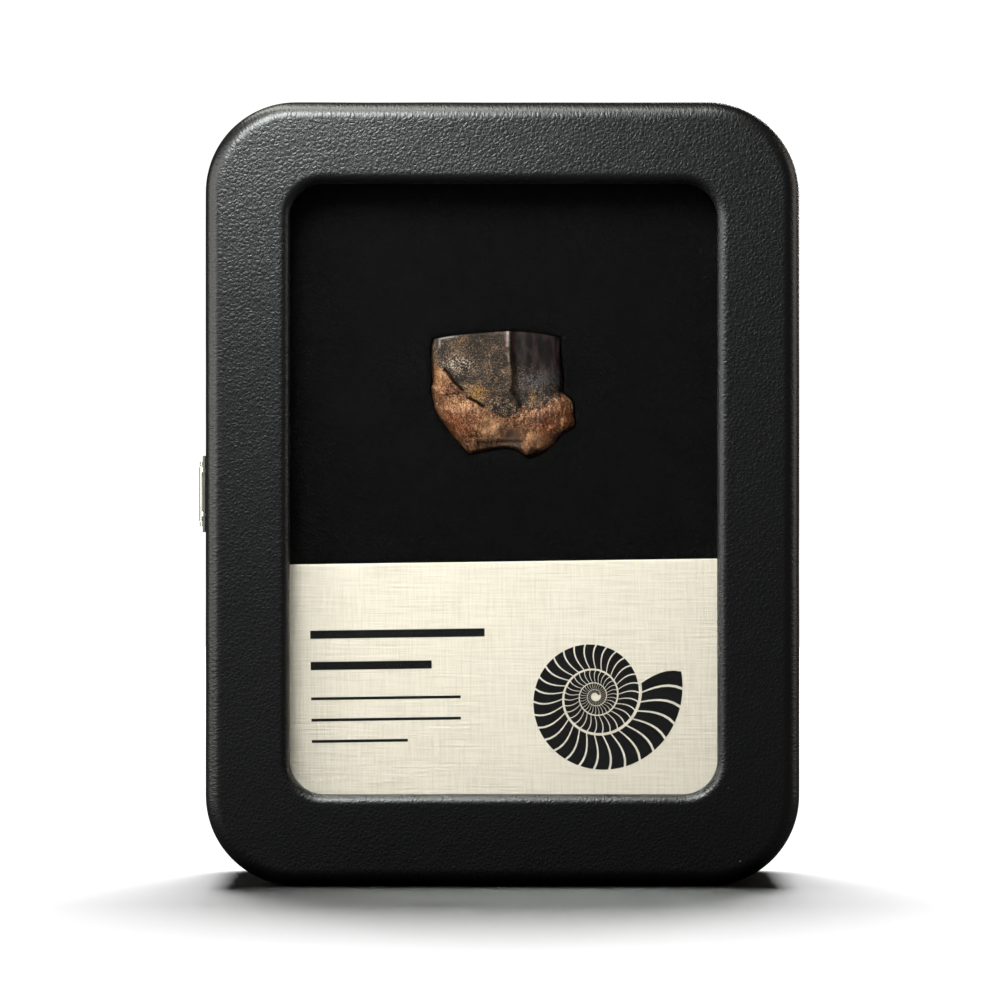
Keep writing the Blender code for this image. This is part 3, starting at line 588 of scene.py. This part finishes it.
# In mm from the tooth's own centre, as in the CAD model
tooth = {
    "columns": 216, "rows": 184, "layers": 14, "centreX": 0.1, "above": 14.0, "plane": -5.0,
    "edgeFront": 0.9, "edgeBack": 1.3, "front": 2.7, "back": 4.4, "inset": 0.05, "wearDrop": 2.6,
    "ridgeSide": 0.2, "ridgeWidth": 0.08, "grooveSide": 0.335, "grooveWidth": 0.08,
    "top": [(-9.9, 7.75), (-8.2, 8.05), (-5.4, 8.4), (-2.5, 8.6), (0.5, 8.8), (3.5, 8.7), (5.8, 8.4),
            (8.0, 8.0)],
    "right": [(7.3, -6.7), (8.5, -5.4), (9.8, -4.8), (10.2, -4.0), (10.0, -3.0), (10.0, -1.7), (9.75, -0.85),
              (8.45, 0.25), (8.5, 1.9), (8.25, 4.4), (8.1, 6.6), (8.0, 8.0)],
    "bottom": [(-5.6, -7.6), (-4.6, -8.4), (-3.9, -8.3), (-1.9, -7.9), (0.2, -7.6), (1.6, -7.7), (2.5, -8.2),
               (3.5, -8.9), (4.9, -8.5), (6.3, -7.7), (7.3, -6.7)],
    "left": [(-5.6, -7.6), (-7.1, -5.7), (-8.6, -3.8), (-9.4, -2.5), (-9.8, -0.9), (-10.2, 0.4), (-10.0, 1.9),
             (-10.05, 4.2), (-10.2, 5.8), (-9.9, 7.75)],
    "enamelEdge": [(-10.4, 4.8), (-8.4, 3.6), (-7.0, 1.8), (-5.6, 0.1), (-3.0, -1.9), (0.3, -3.4),
                   (2.7, -2.2), (4.1, -1.9), (6.1, -1.1), (7.3, -0.2), (10.4, 0.6)],
}
toothCracks = [  # points in mm, half width and depth
    ([(-8.3, 3.5), (-7.7, 2.7), (-6.9, 1.6), (-5.7, 0.4)], 0.19, 0.6),
    ([(-5.0, -0.6), (-3.9, -1.2), (-2.8, -2.0)], 0.19, 0.65),
    ([(-8.1, -0.1), (-7.0, -0.1), (-5.9, 0.1), (-5.0, -0.6)], 0.09, 0.3),
    ([(-9.0, 2.4), (-8.4, 1.3), (-7.6, 0.3)], 0.06, 0.18),
    ([(9.2, -1.1), (9.5, -1.4)], 0.24, 0.5),
]


def alongLine(line, share):
    # A smooth curve through the points, by how far along it a share is: each stretch is a cubic whose
    # slopes at its ends follow the points on both sides
    points = np.array(line)
    reached = np.concatenate([[0.0], np.cumsum(np.hypot(*np.diff(points, axis=0).T))])
    slope = np.gradient(points, reached, axis=0)
    spot = np.clip(share, 0, 1) * reached[-1]
    index = np.clip(np.searchsorted(reached, spot, side="right") - 1, 0, len(points) - 2)
    span = reached[index + 1] - reached[index]
    t = ((spot - reached[index]) / span)[..., None]
    span = span[..., None]
    return ((2 * t**3 - 3 * t**2 + 1) * points[index] + (t**3 - 2 * t**2 + t) * span * slope[index]
            + (3 * t**2 - 2 * t**3) * points[index + 1] + (t**3 - t**2) * span * slope[index + 1])


def insideOutline(s, t):
    # Spreads a square over the outline: the blend of its top and bottom lines, plus the blend of its left
    # and right lines, less the blend of its four corners
    s1, t1 = s[..., None], t[..., None]
    across = (1 - t1) * alongLine(tooth["bottom"], s) + t1 * alongLine(tooth["top"], s)
    up = (1 - s1) * alongLine(tooth["left"], t) + s1 * alongLine(tooth["right"], t)
    bottom, top = np.array(tooth["bottom"]), np.array(tooth["top"])
    corners = (1 - t1) * ((1 - s1) * bottom[0] + s1 * bottom[-1]) + t1 * ((1 - s1) * top[0] + s1 * top[-1])
    spread = across + up - corners
    return spread[..., 0], spread[..., 1]


toothPatches = {  # height, place across and up, and reach across and up of each soft patch, in mm
    "relief": [  # a hollow in each half, the two lobes of the root and the saddle between them
        (-0.35, -4.6, 4.0, 2.6, 3.8), (-0.35, 4.8, 4.4, 2.2, 3.6), (0.6, -5.2, -3.4, 3.2, 2.4),
        (0.7, 5.8, -4.0, 2.8, 2.4), (-1.2, 1.1, -6.6, 1.8, 2.2)],
    "behind": [(1.5, 0.0, -3.0, 4.2, 3.6)],
    "hollow": [(1.0, 1.1, -5.9, 1.5, 1.25)],
    "gold": [(1.2, -3.4, 0.1, 2.0, 1.5), (1.5, 4.1, -0.5, 0.6, 1.7)],
    "white": [(1.3, -6.5, 4.3, 1.7, 0.9), (0.2, 0.4, -1.7, 2.4, 1.2), (0.6, 6.7, 2.85, 1.4, 0.9),
              (0.12, 4.1, -0.5, 0.5, 1.6)],
    "blue": [(1.0, 4.6, 1.9, 2.6, 1.5), (1.2, 7.6, 3.0, 1.3, 1.7)],
    # speckled: more specks at the top left, as painted sheen
    "sheenSpeckled": [(0.25, -4.9, 7.0, 1.2, 0.8)],
    # glint: a painted highlight at the upper-left corner
    "glint": [(0.9, -8.95, 7.2, 0.13, 0.5)],
    # pale: lighter patches and painted highlights on the root; the negative ones make places darker
    "paleAndHighlight": [(1.3, -8.9, 2.2, 0.8, 1.4), (1.1, 3.9, -6.4, 1.8, 0.9), (3.9, -2.1, -4.7, 1.4, 1.6),
             (0.8, -6.0, -1.4, 2.0, 0.9), (-1.0, 5.4, -3.8, 1.8, 1.1), (1.1, 5.9, -6.5, 1.2, 0.8),
             (0.4, -7.4, -3.5, 1.3, 1.1), (0.3, -6.0, -5.2, 1.7, 1.4), (0.9, 4.6, -6.2, 2.4, 1.3),
             (-0.4, 9.2, -3.6, 1.0, 1.4)],
    "fibrous": [(2.6, -2.1, -4.7, 1.4, 1.6)],
    "rust": [(1.1, -7.3, -3.5, 1.7, 1.4), (1.0, -5.9, -5.1, 1.7, 1.5), (1.0, 6.4, -4.4, 1.9, 1.5),
             (1.0, 9.3, -3.4, 1.0, 1.7), (0.7, 6.2, -6.6, 1.4, 1.1)],
}


def patches(u, w, name):
    # The sum of round bells, each falling from its height by e to the square of the distance in reaches
    return sum(high * np.exp(-(((u - x) / wide) ** 2) - ((w - z) / tall) ** 2)
               for high, x, z, wide, tall in toothPatches[name])


def lineDistance(u, w, line):
    # How far each point is from the nearest stretch of a broken line
    least = np.full(u.shape, 1e9)
    for (ax, az), (bx, bz) in zip(line, line[1:]):
        length = (bx - ax) ** 2 + (bz - az) ** 2
        share = np.clip(((u - ax) * (bx - ax) + (w - az) * (bz - az)) / length, 0, 1)
        least = np.minimum(least, np.hypot(u - ax - share * (bx - ax), w - az - share * (bz - az)))
    return least


def shapeTooth(side, up, layer):
    # Every point of the block's skin, by its place from -1 to 1 across, up and from front to back. Gives
    # the place in mm and the marks for the colours.
    u, w = insideOutline((side + 1) / 2, (up + 1) / 2)
    flat = np.stack([u, layer * 3, w], axis=-1)
    inset = 1 - tooth["inset"] * layer**2 * (1 - ramp(up, 0.4, 1.0))
    u, w = u * inset, w * inset
    bulge = np.maximum(0, 1 - np.abs(side) ** 3) ** 0.6 * np.maximum(0, 1 - np.maximum(0, -up) ** 3) ** 0.6
    front = tooth["edgeFront"] + (tooth["front"] - tooth["edgeFront"]) * bulge
    back = tooth["edgeBack"] + (tooth["back"] - tooth["edgeBack"]) * bulge
    jitter = 0.35 * layeredNoise(flat, 1.6, 3)
    above = w + jitter * 0.8 - np.interp(u, *np.array(tooth["enamelEdge"]).T)
    crown = ramp(above, -0.4, 1.6)
    rising = ramp(w, -3.2, 5.0)
    offRidge = side - tooth["ridgeSide"]
    ridgeWidth = tooth["ridgeWidth"] * np.where(offRidge > 0, 0.7, 1.0)
    ridge = (0.3 + 0.7 * rising) * np.exp(-((offRidge / ridgeWidth) ** 2)) * crown
    groove = 0.2 * rising * np.exp(-(((side - tooth["grooveSide"]) / tooth["grooveWidth"]) ** 2)) * crown
    leftRoot = 1 - ramp(u, -3.0, -0.8)
    step = 0.5 * leftRoot * (1 - ramp(above, -0.3, 0.1)) * ramp(above, -4.0, -0.8)
    between = ramp(u, -4.6, -3.2) * (1 - ramp(u, 1.8, 3.6))
    shelf = np.maximum(between * ramp(-w - 0.3 * jitter, 6.2, 6.8),
                       ramp(-w - 0.5 * jitter, 7.6, 8.2) * ramp(u, 1.5, 3.0))
    bevel = 0.15 * ramp(up, 0.97, 1.0) * (1 - ramp(u, -7.4, -6.4))
    relief = ridge - groove + step + patches(u, w, "relief") - 0.6 * shelf - bevel
    cracks = np.zeros(u.shape)
    ragged = 0.2 * layeredNoise(flat, 0.4, 91)
    shade = np.zeros(u.shape)
    for line, width, depth in toothCracks:
        far = lineDistance(u + 0.25 * jitter + ragged, w + 0.4 * jitter - ragged, line)
        near = np.exp(-((far / width) ** 2))
        cracks += depth * near
        # The shade mark paints darkness into each crack, darker for deeper cracks: painted shade
        shade = np.maximum(shade, near * min(1.0, depth * 1.6))
    root = 1 - ramp(above, -0.25, 0.15)
    hollow = patches(u, w, "hollow")
    slant = np.stack([flat[..., 0] + 0.25 * flat[..., 2], flat[..., 1], flat[..., 2] * 0.4], axis=-1)
    fibres = layeredNoise(slant, 0.5, 21)
    lumps = layeredNoise(flat, 1.7, 31)
    streaks = layeredNoise(flat * np.array([1.0, 1.0, 0.2]), 0.32, 101)
    roughness = root * (1 - 0.8 * hollow) * (0.13 * fibres + 0.2 * lumps)
    roughness += (1 - root) * 0.03 * layeredNoise(flat, 0.5, 41) * (1 - 0.7 * ramp(u, 1.0, 2.0))
    inner = (1 - np.abs(side) ** 8) * (1 - np.maximum(0, -up) ** 8)
    facing = ramp(-layer, 0.9, 1.0)
    front = front + facing * inner * (relief - cracks) + roughness * ramp(-layer, -1.0, 0.4)
    behind = ramp(layer, 0.9, 1.0)
    back = back - behind * patches(u, w, "behind") * bulge + 0.12 * lumps * behind
    share = (layer + 1) / 2
    depth = back * share - front * (1 - share)
    w = w - tooth["wearDrop"] * share * ramp(up, 0.2, 1.0)
    wobble = 0.1 * layeredNoise(flat, 0.9, 51) * (0.3 + 0.7 * root) * (1 - 0.9 * facing)
    u = u + wobble * np.sign(side) * np.abs(side) ** 6
    w = w + wobble * np.sign(up) * np.abs(up) ** 6 * (up < 0)
    mixed = above + (0.1 + 0.9 * ramp(u, -1.5, 2.5)) * layeredNoise(flat, 0.4, 71)
    left = 1 - ramp(side, tooth["ridgeSide"] - 0.05, tooth["ridgeSide"] + 0.02)
    worn = 0.6 * layeredNoise(flat, 1.1, 81)
    gold, white = patches(u, w, "gold"), patches(u, w, "white")
    blue = (1 - left) * patches(u, w, "blue")
    broken = ramp(layeredNoise(flat, 0.35, 61), -0.3, 0.4)
    # Painted highlight along the ridge's crest: strong near the top and broken up by noise further down
    crestHighlight = np.exp(-(((side - tooth["ridgeSide"] + 0.03 - 0.01 * worn) / 0.026) ** 2))
    crestHighlight *= ((0.3 * ramp(w, 0.8, 4.4) + 0.25 * ramp(w, 3.5, 5.5)) * broken
              + 0.6 * ramp(w + 0.6 * worn, 6.4, 7.8))
    # The rim mark is a painted highlight along the top edge, with the glint at the upper-left corner
    topEdgeHighlight = ramp(up, 0.965, 0.98) * ramp(u, -9.2, -8.6) * (1 - ramp(u, 1.0, 1.6))
    topEdgeHighlight *= 1 - 0.9 * ramp(u, -7.4, -6.4)
    # The speckled patch adds specks at the top left as painted sheen
    dense = 0.1 + 0.35 * left + 0.6 * (gold + blue) + 0.3 * white + worn + patches(u, w, "sheenSpeckled")
    plum = ramp(side, tooth["ridgeSide"], tooth["ridgeSide"] + 0.05)
    marks = {
        "enamel": ramp(mixed, -0.12, 0.12) * (1 - ramp(layer, -0.6, 0.4)),
        "gold": np.clip(gold, 0, 1), "white": np.clip(white, 0, 1), "blue": np.clip(blue, 0, 1),
        "dense": np.clip(dense, -0.6, 1.3) - 0.3,
        "plum": plum * ramp(w + 0.3 * u + 1.6 * worn, 3.0, 6.4),
        "crestHighlight": np.clip(crestHighlight, 0, 1) * facing,
        "rim": np.clip(0.6 * topEdgeHighlight + patches(u, w, "glint"), 0, 1) * facing,
        "hollow": np.clip(1.25 * hollow, 0, 1) * facing,
        # Painted shade on the shelf under the root lobes
        "underShade": np.clip(shelf * (1 + worn), 0, 1) * 0.9,
        # Lighter patches and painted highlights on the root, with fibrous streaks in one of them
        "paleAndHighlight": np.clip(patches(u, w, "paleAndHighlight") + streaks * patches(u, w, "fibrous"), -1.6, 4.6),
        "rust": np.clip(patches(u, w, "rust") + 0.3 * lumps, 0, 1),
        "shade": np.clip(shade, 0, 1) * facing,
    }
    return np.stack([u, depth, w], axis=-1), marks


def fossilTooth():
    # The block's skin is a front sheet, a back sheet and a band round their shared edge
    columns, rows, layers = tooth["columns"], tooth["rows"], tooth["layers"]
    acrossLine, upLine = np.linspace(-1, 1, columns + 1), np.linspace(-1, 1, rows + 1)
    side, up = (grid.ravel() for grid in np.meshgrid(acrossLine, upLine, indexing="ij"))
    ones = np.ones(side.size)
    loop = np.concatenate([
        np.stack([acrossLine[:-1], -np.ones(columns)]), np.stack([np.ones(rows), upLine[:-1]]),
        np.stack([acrossLine[:0:-1], np.ones(columns)]), np.stack([-np.ones(rows), upLine[:0:-1]])], axis=1)
    bandSide, bandLayer = np.meshgrid(loop[0], np.linspace(-1, 1, layers + 1), indexing="ij")
    bandUp = np.repeat(loop[1][:, None], layers + 1, axis=1)
    points, marks = shapeTooth(np.concatenate([side, side, bandSide.ravel()]),
                               np.concatenate([up, up, bandUp.ravel()]),
                               np.concatenate([-ones, ones, bandLayer.ravel()]))
    quads = np.concatenate([
        gridQuads(columns + 1, rows + 1), gridQuads(columns + 1, rows + 1, start=side.size),
        gridQuads(loop.shape[1], layers + 1, wrapRows=True, start=2 * side.size)])
    centre = np.array([tooth["centreX"], tooth["plane"], lidMiddle[2] / mm + tooth["above"]])
    makePiece("tooth_surface", (points + centre) * mm, quads, "base", finishes["fossil"],
              ["fossil_tooth"], marks, merge=2e-6)


fossilTooth()
print("tooth ready")

foam = {
    "edge": 0.6 * mm, "gap": 0.15 * mm, "pocketDepth": 6.3 * mm, "corner": 8.3 * mm,
    "lip": 0.12 * mm, "lipEnd": 0.4 * mm, "lift": 0.08 * mm, "swell": 0.06 * mm, "swellSize": 7 * mm,
    "edgeSteps": 6, "faceSteps": 39, "backRings": 12, "floorRings": 9, "outlineSteps": 200,
}


def foamPad():
    # Rings run in over the face from the block's rounded edge to the pocket cut to the tooth's outline,
    # then down the pocket's wall and over its floor. The back closes behind.
    width, height = foamHigh[0] - foamLow[0], foamHigh[2] - foamLow[2]
    front, back = foamLow[1], foamHigh[1]
    centre = np.array([tooth["centreX"] * mm, lidMiddle[2] + tooth["above"] * mm])
    across, along = quarterTurn(foam["edgeSteps"])
    edge = foam["edge"]

    def outer(inset, depth):
        inset = np.asarray(inset)
        x, z = ringRows(width - 2 * inset, height - 2 * inset, foam["corner"] - inset,
                        0 * inset, 0 * inset + foamMiddle[2])
        return atDepth(x, z, depth)

    start = outer([edge], [front])
    angle = np.arctan2(start[0, :, 2] - centre[1], start[0, :, 0] - centre[0])
    onward = np.linspace(0, 1, foam["outlineSteps"])
    shares = {"bottom": onward, "right": onward, "top": onward[::-1], "left": onward[::-1]}
    outline = np.concatenate([alongLine(tooth[name], share[:-1]) for name, share in shares.items()])
    spokes = np.arctan2(outline[:, 1], outline[:, 0])
    order = np.argsort(spokes)
    reach = np.interp(angle, spokes[order], np.hypot(*outline[order].T), period=2 * math.pi)
    radius = reach * mm + foam["gap"]

    def pocket(shrink, depth):
        reach = radius[None, :] * np.asarray(shrink)[:, None]
        return atDepth(centre[0] + reach * np.cos(angle), centre[1] + reach * np.sin(angle), depth)

    share = np.linspace(0, 1, foam["faceSteps"] + 1)[1:-1][:, None, None]
    mouth = pocket([1.03], [front])
    floor = front + foam["pocketDepth"]
    shrinkBack = np.linspace(0, 1, foam["backRings"])
    backInset = foamHigh[0] * shrinkBack
    backX, backZ = ringRows(width - 2 * backInset, height - 2 * backInset, foam["corner"] * (1 - shrinkBack),
                            0 * backInset, 0 * backInset + foamMiddle[2])
    backRows = np.stack([backX, np.full(backX.shape, back), backZ], axis=-1)
    points = np.concatenate([
        backRows[::-1], outer([0], [front + edge * 3]),
        outer(edge - edge * across[::-1], front + edge * along[::-1]),
        start * (1 - share) + mouth * share, mouth,
        pocket([1.005, 1.0, 1.0], [front + foam["lip"], front + foam["lipEnd"], floor]),
        pocket(np.linspace(1, 0, foam["floorRings"] + 1)[1:], np.full(foam["floorRings"], floor))])
    swell = layeredNoise(points, foam["swellSize"], 61, 2) * foam["swell"]
    points[..., 1] += (foam["lift"] + swell) * (points[..., 1] < front + edge)
    quads = gridQuads(*points.shape[:2], wrapColumns=True)
    piece = makePiece("foam_block", points.reshape(-1, 3), quads, "base", finishes["foam"],
                      ["foam_pad"], merge=1e-6)


foamPad()
print("foam ready")

label = {
    "width": 62.0 * mm, "height": 35.0 * mm, "tilt": math.radians(0.8), "round": 0.4 * mm,
    "edge": 0.06 * mm, "bow": 0.12 * mm, "faceRings": 60, "backRings": 6,
}


def onLabel(across, up, depth):
    # Turns a place on the label, from its middle, into one in the case
    x = labelMiddle[0] + across * math.cos(label["tilt"]) - up * math.sin(label["tilt"])
    z = labelMiddle[2] + across * math.sin(label["tilt"]) + up * math.cos(label["tilt"])
    return np.stack([x, depth, z], axis=-1)


def labelBow(up):
    # The board lifts a hair towards its upper edge, as half of one less the cosine of half a turn
    return label["bow"] * 0.5 * (1 - np.cos(math.pi * np.clip(up / label["height"] + 0.5, 0, 1)))


def labelCard():
    # Rings shrink from the card's edge to its middle, on its face and on its back
    count, edge, half = label["faceRings"], label["edge"], label["height"] / 2
    shrink = np.concatenate([np.linspace(1, 0, count), [0.0], np.linspace(0, 1, label["backRings"])])
    onFace = np.arange(shrink.size) < count
    inset = np.where(onFace, edge + (half - edge) * shrink, half * shrink)
    x, z = ringRows(label["width"] - 2 * inset, label["height"] - 2 * inset, label["round"] * (1 - shrink),
                    0 * inset, 0 * inset)
    front, back = labelLow[1] + label["bow"], labelHigh[1]
    depth = np.where(onFace, front, back)
    depth[count] = front + edge
    points = onLabel(x, z, np.minimum(depth[:, None] - labelBow(z), back))
    quads = gridQuads(*points.shape[:2], wrapColumns=True)
    makePiece("label_paper", points.reshape(-1, 3), quads, "base", finishes["paper"],
              ["label_card"], merge=1e-6)


inkHeight = 0.012 * mm


def printOnLabel(name, across, up):
    # Flat cells of ink. Each is a small grid on the paper with its rim turned down into it, closed by a
    # mirrored grid below. The first axis of the arrays is the cells, and the last two are the grid.
    count, rows, columns = across.shape
    skirt = np.zeros((rows + 2, columns + 2))
    skirt[1:-1, 1:-1] = 1
    pad = ((0, 0), (1, 1), (1, 1))
    across, up = np.pad(across, pad, mode="edge"), np.pad(up, pad, mode="edge")
    paperFace = labelLow[1] + label["bow"] - labelBow(up)
    faces = [paperFace - inkHeight * (2 * skirt[None] - 1), paperFace + inkHeight]
    points = np.stack([onLabel(across, up, depth) for depth in faces], axis=1)
    cell = gridQuads(rows + 2, columns + 2)
    size = (rows + 2) * (columns + 2)
    both = np.concatenate([cell, cell[:, ::-1] + size])
    quads = (both[None] + np.arange(count)[:, None, None] * 2 * size).reshape(-1, 4)
    makePiece(name, points.reshape(-1, 3), quads, "base", finishes["ink"], merge=1e-7)


ammonite = {
    "x": 13.4 * mm, "z": -1.6 * mm, "radius": 12.6 * mm, "whorls": 4.0, "ribs": 30, "slit": 0.15,
    "shrink": 0.5, "overlap": 1.07, "bend": 1.28, "mouth": math.radians(20),
}


def ammoniteMotif():
    # A spiral whose radius grows by the same share each turn, cut into ribs by thin slits. Each rib is a
    # cell between two angles, from the edge of the whorl inside it to its own edge.
    total = int(ammonite["ribs"] * ammonite["whorls"])
    start = np.arange(total)[:, None, None] / ammonite["ribs"]
    slit = ammonite["slit"] / 2
    along = np.linspace(slit, 1 - slit, 5)[None, :, None] / ammonite["ribs"]
    out = np.linspace(0, 1, 7)[None, None, :]
    turn = start + along
    bend = ammonite["bend"] * (out - 0.5) ** 2 / ammonite["ribs"]
    outer = ammonite["radius"] * ammonite["shrink"] ** (ammonite["whorls"] - turn)
    inner = outer * ammonite["shrink"] * ammonite["overlap"]
    radius = inner + (outer - inner) * out
    angle = 2 * math.pi * (turn - ammonite["whorls"] - bend) + ammonite["mouth"]
    across = ammonite["x"] + radius * np.cos(angle)
    up = ammonite["z"] + radius * np.sin(angle)
    printOnLabel("label_ammonite", across, up)


ruled = {  # the left margin, then height above the middle, thickness and length of each bar, in mm
    "left": -26.5,
    "bars": [(7.6, 1.15, 24.5), (3.2, 1.15, 17.0), (-1.4, 0.4, 21.0), (-4.4, 0.4, 21.0), (-7.4, 0.4, 13.5)],
}


def ruledLabelLines():
    # Plain bars, each from the same left margin
    for number, (height, thick, length) in enumerate(ruled["bars"], 1):
        share = np.linspace(0, 1, 24)[None, None, :]
        rise = np.linspace(-0.5, 0.5, 3)[None, :, None]
        across = (ruled["left"] + length * share + 0 * rise) * mm
        up = (height + thick * rise + 0 * share) * mm
        printOnLabel(f"label_line_{number}", across, up)


labelCard()
ammoniteMotif()
ruledLabelLines()
print("label ready")

# The CAD pieces that stay get their finishes
for node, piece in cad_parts.items():
    name = "nickel" if node.startswith(("hinge", "latch", "catch", "lid_rivet", "base_rivet")) else None
    name = {"window_glass": "glass", "glass_retainer": "board"}.get(node, name)
    if name:
        piece.data.materials.clear()
        piece.data.materials.append(finishes[name])

studio = {
    "view": 139.8 * mm, "distance": 0.5, "cameraX": -0.35 * mm, "cameraDrop": 0.84 * mm,  # view: seen width
    "surround": 0.005, "white": 1.1, "floor": (-1.0, 1.0, -1.2, 0.8),
    "floorLight": ("floorStrip", (0.0, 1.25, 2.75), (0, 0, 0), 152.0, (2.0, 1.45), (1.0, 1.0, 1.0)),
    "lights": [  # name, place, what it faces, power, width and height, colour
        ("key", (-0.058, -0.14, 0.188), (-0.01, 0, 0.06), 0.375, (0.07, 0.07), (0.95, 1.0, 0.99)),
        ("overhead", (-0.05, -0.035, 0.3), (0, 0, 0.1), 0.46, (0.3, 0.06), (1.0, 1.0, 0.92)),
        ("left", (-0.4, -0.05, 0.12), (0, 0, 0.05), 0.4, (0.2, 0.3), (1.0, 1.0, 0.95)),
        ("leftFront", (-0.28, -0.2, 0.14), (0, 0, 0.05), 0.3, (0.12, 0.25), (1.0, 1.0, 0.97)),
        ("right", (0.4, 0.0, 0.16), (0, 0, 0.05), 0.25, (0.2, 0.3), (1.0, 0.9, 0.8)),
        ("back", (0.25, 0.5, 0.3), (0, 0, 0.05), 3.0, (0.3, 0.3), (1.0, 1.0, 1.0)),
    ],
}


def floorPlane():
    left, right, front, back = studio["floor"]
    mesh = bpy.data.meshes.new("floor")
    corners = [(left, front, 0), (right, front, 0), (right, back, 0), (left, back, 0)]
    mesh.from_pydata(corners, [], [(0, 1, 2, 3)])
    plane = bpy.data.objects.new("floor", mesh)
    mesh.materials.append(floorMaterial())
    bpy.context.scene.collection.objects.link(plane)
    return plane


def lightOnly(lamp, plane, state):
    # Says whether this lamp lights the floor and nothing else, or everything but the floor
    group = bpy.data.collections.new(lamp.name + "Lights")
    group.objects.link(plane)
    group.collection_objects[0].light_linking.link_state = state
    lamp.light_linking.receiver_collection = group


def addLight(name, place, target, power, size, colour):
    data = bpy.data.lights.new(name, "AREA")
    data.shape = "RECTANGLE"
    data.energy, data.color = power, colour
    data.size, data.size_y = size
    lamp = bpy.data.objects.new(name, data)
    lamp.location = place
    lamp.rotation_euler = (Vector(target) - Vector(place)).to_track_quat("-Z", "Y").to_euler()
    bpy.context.scene.collection.objects.link(lamp)
    return lamp


def studioWorld():
    # A dark room for what the glass and leather mirror, and a white one behind the object
    world = bpy.data.worlds.new("studio")
    world.use_nodes = True
    tree = world.node_tree
    room = tree.nodes["Background"]
    fill(tree, room, {"Color": grey(studio["surround"])})
    white = addNode(tree, "ShaderNodeBackground", {"Color": grey(1.0), "Strength": studio["white"]})
    mixed = addNode(tree, "ShaderNodeMixShader", {
        0: seenStraight(tree), 1: room.outputs[0], 2: white.outputs[0]})
    fill(tree, tree.nodes["World Output"], {"Surface": mixed.outputs[0]})
    bpy.context.scene.world = world


def photoCamera():
    data = bpy.data.cameras.new("camera")
    data.sensor_width = 36.0
    data.lens = data.sensor_width * studio["distance"] / studio["view"]
    data.clip_start, data.clip_end = 0.01, 100
    camera = bpy.data.objects.new("camera", data)
    sideFront = lidLow[1] + lid["edgeRound"]
    camera.location = (studio["cameraX"], sideFront - studio["distance"], lidMiddle[2] - studio["cameraDrop"])
    camera.rotation_euler = (math.pi / 2, 0, 0)
    bpy.context.scene.collection.objects.link(camera)
    bpy.context.scene.camera = camera


bpy.context.scene.view_settings.view_transform = "Standard"
floor = floorPlane()
studioWorld()
lightOnly(addLight(*studio["floorLight"]), floor, "INCLUDE")
for light in studio["lights"]:
    lightOnly(addLight(*light), floor, "EXCLUDE")
photoCamera()
print("studio ready")
